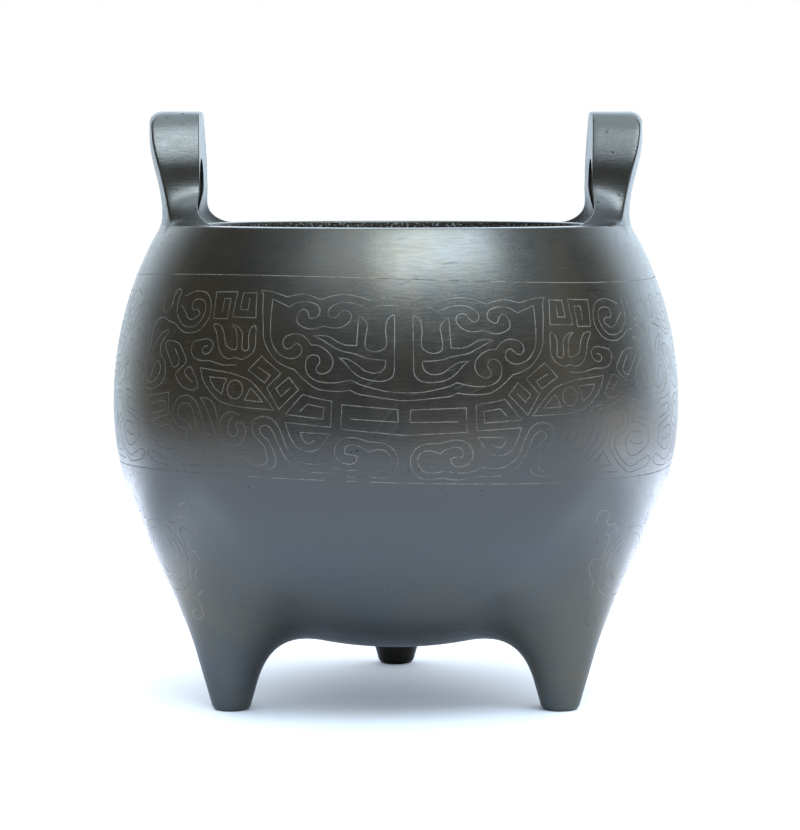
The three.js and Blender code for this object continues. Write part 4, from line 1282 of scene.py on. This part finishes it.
def paper_material():
    """Studio paper: it takes the censer's shadow near it, and glows plain white further off.

    The glow covers the paper from 0.09 m out to 0.3 m round the axis, or to 0.16 m in reflections. There
    it is cool and brighter than white, and beyond S(r - 0.7 max(x, 0)) it gives way to the world's room.
    """
    _, _, _, finish = settings()
    material, shader, weave = new_material("studio_paper")
    shader.inputs["Roughness"].default_value = 1.0
    shader.inputs["Specular IOR Level"].default_value = 0.0
    path = weave.node("ShaderNodeLightPath").outputs
    glossy = path["Is Glossy Ray"]
    seen = weave.math("MAXIMUM", path["Is Camera Ray"], glossy)
    seen = weave.math("MAXIMUM", seen, path["Is Transmission Ray"])
    place = weave.coordinates("Object")
    reach = weave.length(place)
    # In reflections the paper takes PAPER_IN_REFLECTIONS, a darker painted shade in the metal's reflections.
    weave.link(weave.mix(glossy, rgba(finish.paper), PAPER_IN_REFLECTIONS), shader.inputs["Base Color"])

    glow = weave.node("ShaderNodeEmission")
    weave.link(weave.mix(glossy, WHITE, rgba(finish.paper_glow)), glow.inputs["Color"])
    weave.link(weave.line(reflected_glow(weave, place, reach), glossy, 1.0), glow.inputs["Strength"])
    share = weave.product(weave.ramp(reach, 0.09, weave.line(glossy, -0.14, 0.3)), seen)
    sheet = weave.mix_shader(share, shader.outputs[0], glow.outputs[0])

    rightward = weave.product(weave.math("MAXIMUM", weave.parts(place)[0], 0.0), 0.7)
    gone = weave.product(weave.ramp(weave.math("SUBTRACT", reach, rightward), 0.46, 0.8), glossy)
    clear = weave.node("ShaderNodeBsdfTransparent").outputs[0]
    surface = weave.tree.nodes["Material Output"].inputs["Surface"]
    weave.link(weave.mix_shader(gone, sheet, clear), surface)
    return material


def area_lamp(name, place, aim, size, power, colour):
    """A rectangular lamp at a place in metres, turned to face a point, with a power in watts."""
    light = bpy.data.lights.new(name, "AREA")
    light.shape = "RECTANGLE"
    light.size, light.size_y = size
    light.energy = power
    light.color = colour
    lamp = bpy.data.objects.new(name, light)
    lamp.location = place
    direction = np.subtract(aim, place)
    tilt = np.arctan2(np.hypot(direction[0], direction[1]), -direction[2])
    heading = np.arctan2(-direction[0], direction[1])
    lamp.rotation_euler = Euler((tilt, 0.0, heading))
    bpy.context.scene.collection.objects.link(lamp)


def build_floor():
    """Floor: a round sheet of paper, radius 6 m (1 - cos) steps, out to where only white shows."""
    sectors = 48
    radius = FLOOR_RADIUS * (1 - np.cos(np.linspace(0, np.pi / 2, 20)))[1:]
    azimuths = np.linspace(0, 2 * np.pi, sectors, endpoint=False)
    grid = revolve(np.stack([radius, np.zeros_like(radius)], axis=-1), azimuths)
    points = np.concatenate([[[0.0, 0.0, 0.0]], grid.reshape(-1, 3)])
    middle = [[0, 1 + i, 1 + (i + 1) % sectors] for i in range(sectors)]
    rings = grid_faces(len(radius), sectors, 1)[:, ::-1].tolist()
    mesh = bpy.data.meshes.new("studio_floor")
    mesh.from_pydata(points.tolist(), [], middle + rings)
    mesh.materials.append(paper_material())
    sheet = bpy.data.objects.new("studio_floor", mesh)
    bpy.context.scene.collection.objects.link(sheet)


def reflected_room(weave, direction):
    """Share of daylight and strength of the room that shows in reflections, along a ray's direction.

    The room turns from shade to daylight with turn = S(y + 0.17 S(x)) from 0.40 to 0.85, overhead and
    behind, and in a soft patch round HALO. Its strength is 1 + turn side + 1.4 overhead, and side goes
    from 0.8 on the left to 1.7 S(-z) on the right, which is brightest low down.
    """
    across, back, up = weave.parts(direction)
    right = weave.ramp(across, 0.0, 0.6)
    turn = weave.ramp(weave.total(back, weave.product(right, 0.17)), 0.40, 0.85)
    behind = weave.ramp(weave.total(back, up), 1.0, 1.4)
    overhead = weave.math("MAXIMUM", behind, weave.ramp(up, 0.9, 0.97))
    halo = weave.node("ShaderNodeVectorMath", operation="DOT_PRODUCT")
    weave.link(direction, halo.inputs[0])
    weave.link(HALO, halo.inputs[1])
    above = weave.product(weave.ramp(halo.outputs["Value"], 0.25, 0.95), 0.55, weave.ramp(up, 0.2, 0.7))
    share = weave.math("MAXIMUM", weave.math("MAXIMUM", turn, overhead), above)
    low = weave.product(weave.ramp(up, 0.85, 0.1), 1.7)
    side = weave.total(weave.product(weave.math("SUBTRACT", low, 0.8), right), 0.8)
    return share, weave.total(weave.product(side, turn), weave.product(overhead, 1.4), 1.0)


def build_world():
    """World: white to the camera, a fill of 2.0 + 0.9 (y + x / 2) on the object, a room in reflections."""
    _, _, _, finish = settings()
    world = bpy.data.worlds.new("studio")
    world.use_nodes = True
    tree = world.node_tree
    tree.nodes.clear()
    weave = Weave(tree)
    direction = weave.coordinates("Generated")
    path = weave.node("ShaderNodeLightPath").outputs
    glossy = path["Is Glossy Ray"]
    seen = weave.math("MAXIMUM", path["Is Camera Ray"], path["Is Transmission Ray"])
    across, back, _ = weave.parts(direction)
    fill = weave.line(weave.total(back, weave.product(across, 0.5)), 0.9, 2.0)
    share, strength = reflected_room(weave, direction)
    room = weave.mix(share, rgba(finish.shade), rgba(finish.daylight))
    light = weave.node("ShaderNodeBackground")
    weave.link(weave.mix(glossy, WHITE, room), light.inputs["Color"])
    unseen = weave.mix_value(glossy, fill, strength)
    weave.link(weave.mix_value(seen, unseen, 1.0), light.inputs["Strength"])
    out = weave.node("ShaderNodeOutputWorld")
    weave.link(light.outputs[0], out.inputs["Surface"])
    bpy.context.scene.world = world


def build_camera():
    """Camera at the photograph's angle: 1.02 m in front of the axis, 4.69 degrees down, 128 mm lens."""
    camera = bpy.data.cameras.new("photo_camera")
    camera.sensor_width = 36.0
    camera.lens = CAMERA_LENS
    eye = bpy.data.objects.new("photo_camera", camera)
    eye.location = CAMERA_PLACE
    eye.rotation_euler = Euler((np.radians(90.0 - CAMERA_DIP), 0.0, 0.0))
    bpy.context.scene.collection.objects.link(eye)
    bpy.context.scene.camera = eye


def build_stage():
    """White studio: paper floor, cool softboxes above at the right and left, a weak panel at the right."""
    build_floor()
    build_world()
    for name, values in LAMPS.items():
        area_lamp(name, *values)
    build_camera()
    bpy.context.scene.view_settings.view_transform = "Standard"


class CENSER_OT_stage(bpy.types.Operator):
    """Builds the studio: floor, lamps, world and camera"""

    bl_idname = "censer.stage"
    bl_label = "Stage"

    def execute(self, context):
        build_stage()
        return {"FINISHED"}


class CENSER_OT_bowl(bpy.types.Operator):
    """Builds the cast bowl with its leg stubs and rough inside"""

    bl_idname = "censer.bowl"
    bl_label = "Bowl"

    def execute(self, context):
        build_bowl()
        return {"FINISHED"}


class CENSER_OT_feet(bpy.types.Operator):
    """Builds the three feet"""

    bl_idname = "censer.feet"
    bl_label = "Feet"

    def execute(self, context):
        for name, azimuth in zip(FOOT_NAMES, LEG_AZIMUTHS):
            build_foot(name, azimuth)
        return {"FINISHED"}


class CENSER_OT_ears(bpy.types.Operator):
    """Builds the two loop ears"""

    bl_idname = "censer.ears"
    bl_label = "Ears"

    def execute(self, context):
        for name, azimuth in EAR_AZIMUTHS.items():
            build_ear(name, azimuth)
        return {"FINISHED"}


class CENSER_OT_borders(bpy.types.Operator):
    """Lays the two border wires"""

    bl_idname = "censer.borders"
    bl_label = "Border wires"

    def execute(self, context):
        _, _, inlay, _ = settings()
        build_border("border_wire_upper", inlay.upper_border)
        build_border("border_wire_lower", inlay.lower_border)
        return {"FINISHED"}


class CENSER_OT_masks(bpy.types.Operator):
    """Lays the wires of the three masks"""

    bl_idname = "censer.masks"
    bl_label = "Mask wires"

    def execute(self, context):
        for label, degrees_round in MASK_AZIMUTHS.items():
            build_mask(label, degrees_round)
        return {"FINISHED"}


class CENSER_OT_leg_scrolls(bpy.types.Operator):
    """Lays the scrolls over the legs"""

    bl_idname = "censer.leg_scrolls"
    bl_label = "Leg scrolls"

    def execute(self, context):
        for name, azimuth in zip(FOOT_NAMES, LEG_AZIMUTHS):
            build_leg_scroll(name.removeprefix("foot_"), azimuth)
        return {"FINISHED"}


class CENSER_PT_panel(bpy.types.Panel):
    """Sidebar panel with the settings and one button for each operator"""

    bl_idname = "CENSER_PT_panel"
    bl_label = "Censer"
    bl_space_type = "VIEW_3D"
    bl_region_type = "UI"
    bl_category = "Censer"

    def draw(self, context):
        for operator in OPERATORS:
            self.layout.operator(operator.bl_idname)
        for group in settings():
            box = self.layout.box()
            for key in group.__annotations__:
                box.prop(group, key)


GROUPS = {
    "censer_body": CenserBodySizes,
    "censer_ears": CenserEarSizes,
    "censer_inlay": CenserInlaySizes,
    "censer_finish": CenserFinish,
}
OPERATORS = (
    CENSER_OT_stage,
    CENSER_OT_bowl,
    CENSER_OT_feet,
    CENSER_OT_ears,
    CENSER_OT_borders,
    CENSER_OT_masks,
    CENSER_OT_leg_scrolls,
)


def register():
    """Registers the classes and puts the settings on the scene."""
    for group in (*GROUPS.values(), *OPERATORS, CENSER_PT_panel):
        bpy.utils.register_class(group)
    for name, group in GROUPS.items():
        setattr(bpy.types.Scene, name, bpy.props.PointerProperty(type=group))


def unregister():
    """Takes the settings off the scene and unregisters the classes."""
    for name in GROUPS:
        delattr(bpy.types.Scene, name)
    for group in reversed((*GROUPS.values(), *OPERATORS, CENSER_PT_panel)):
        bpy.utils.unregister_class(group)


def main():
    register()
    bpy.ops.censer.stage()
    bpy.ops.censer.bowl()
    bpy.ops.censer.feet()
    bpy.ops.censer.ears()
    bpy.ops.censer.borders()
    bpy.ops.censer.masks()
    bpy.ops.censer.leg_scrolls()


if __name__ == "__main__":
    main()
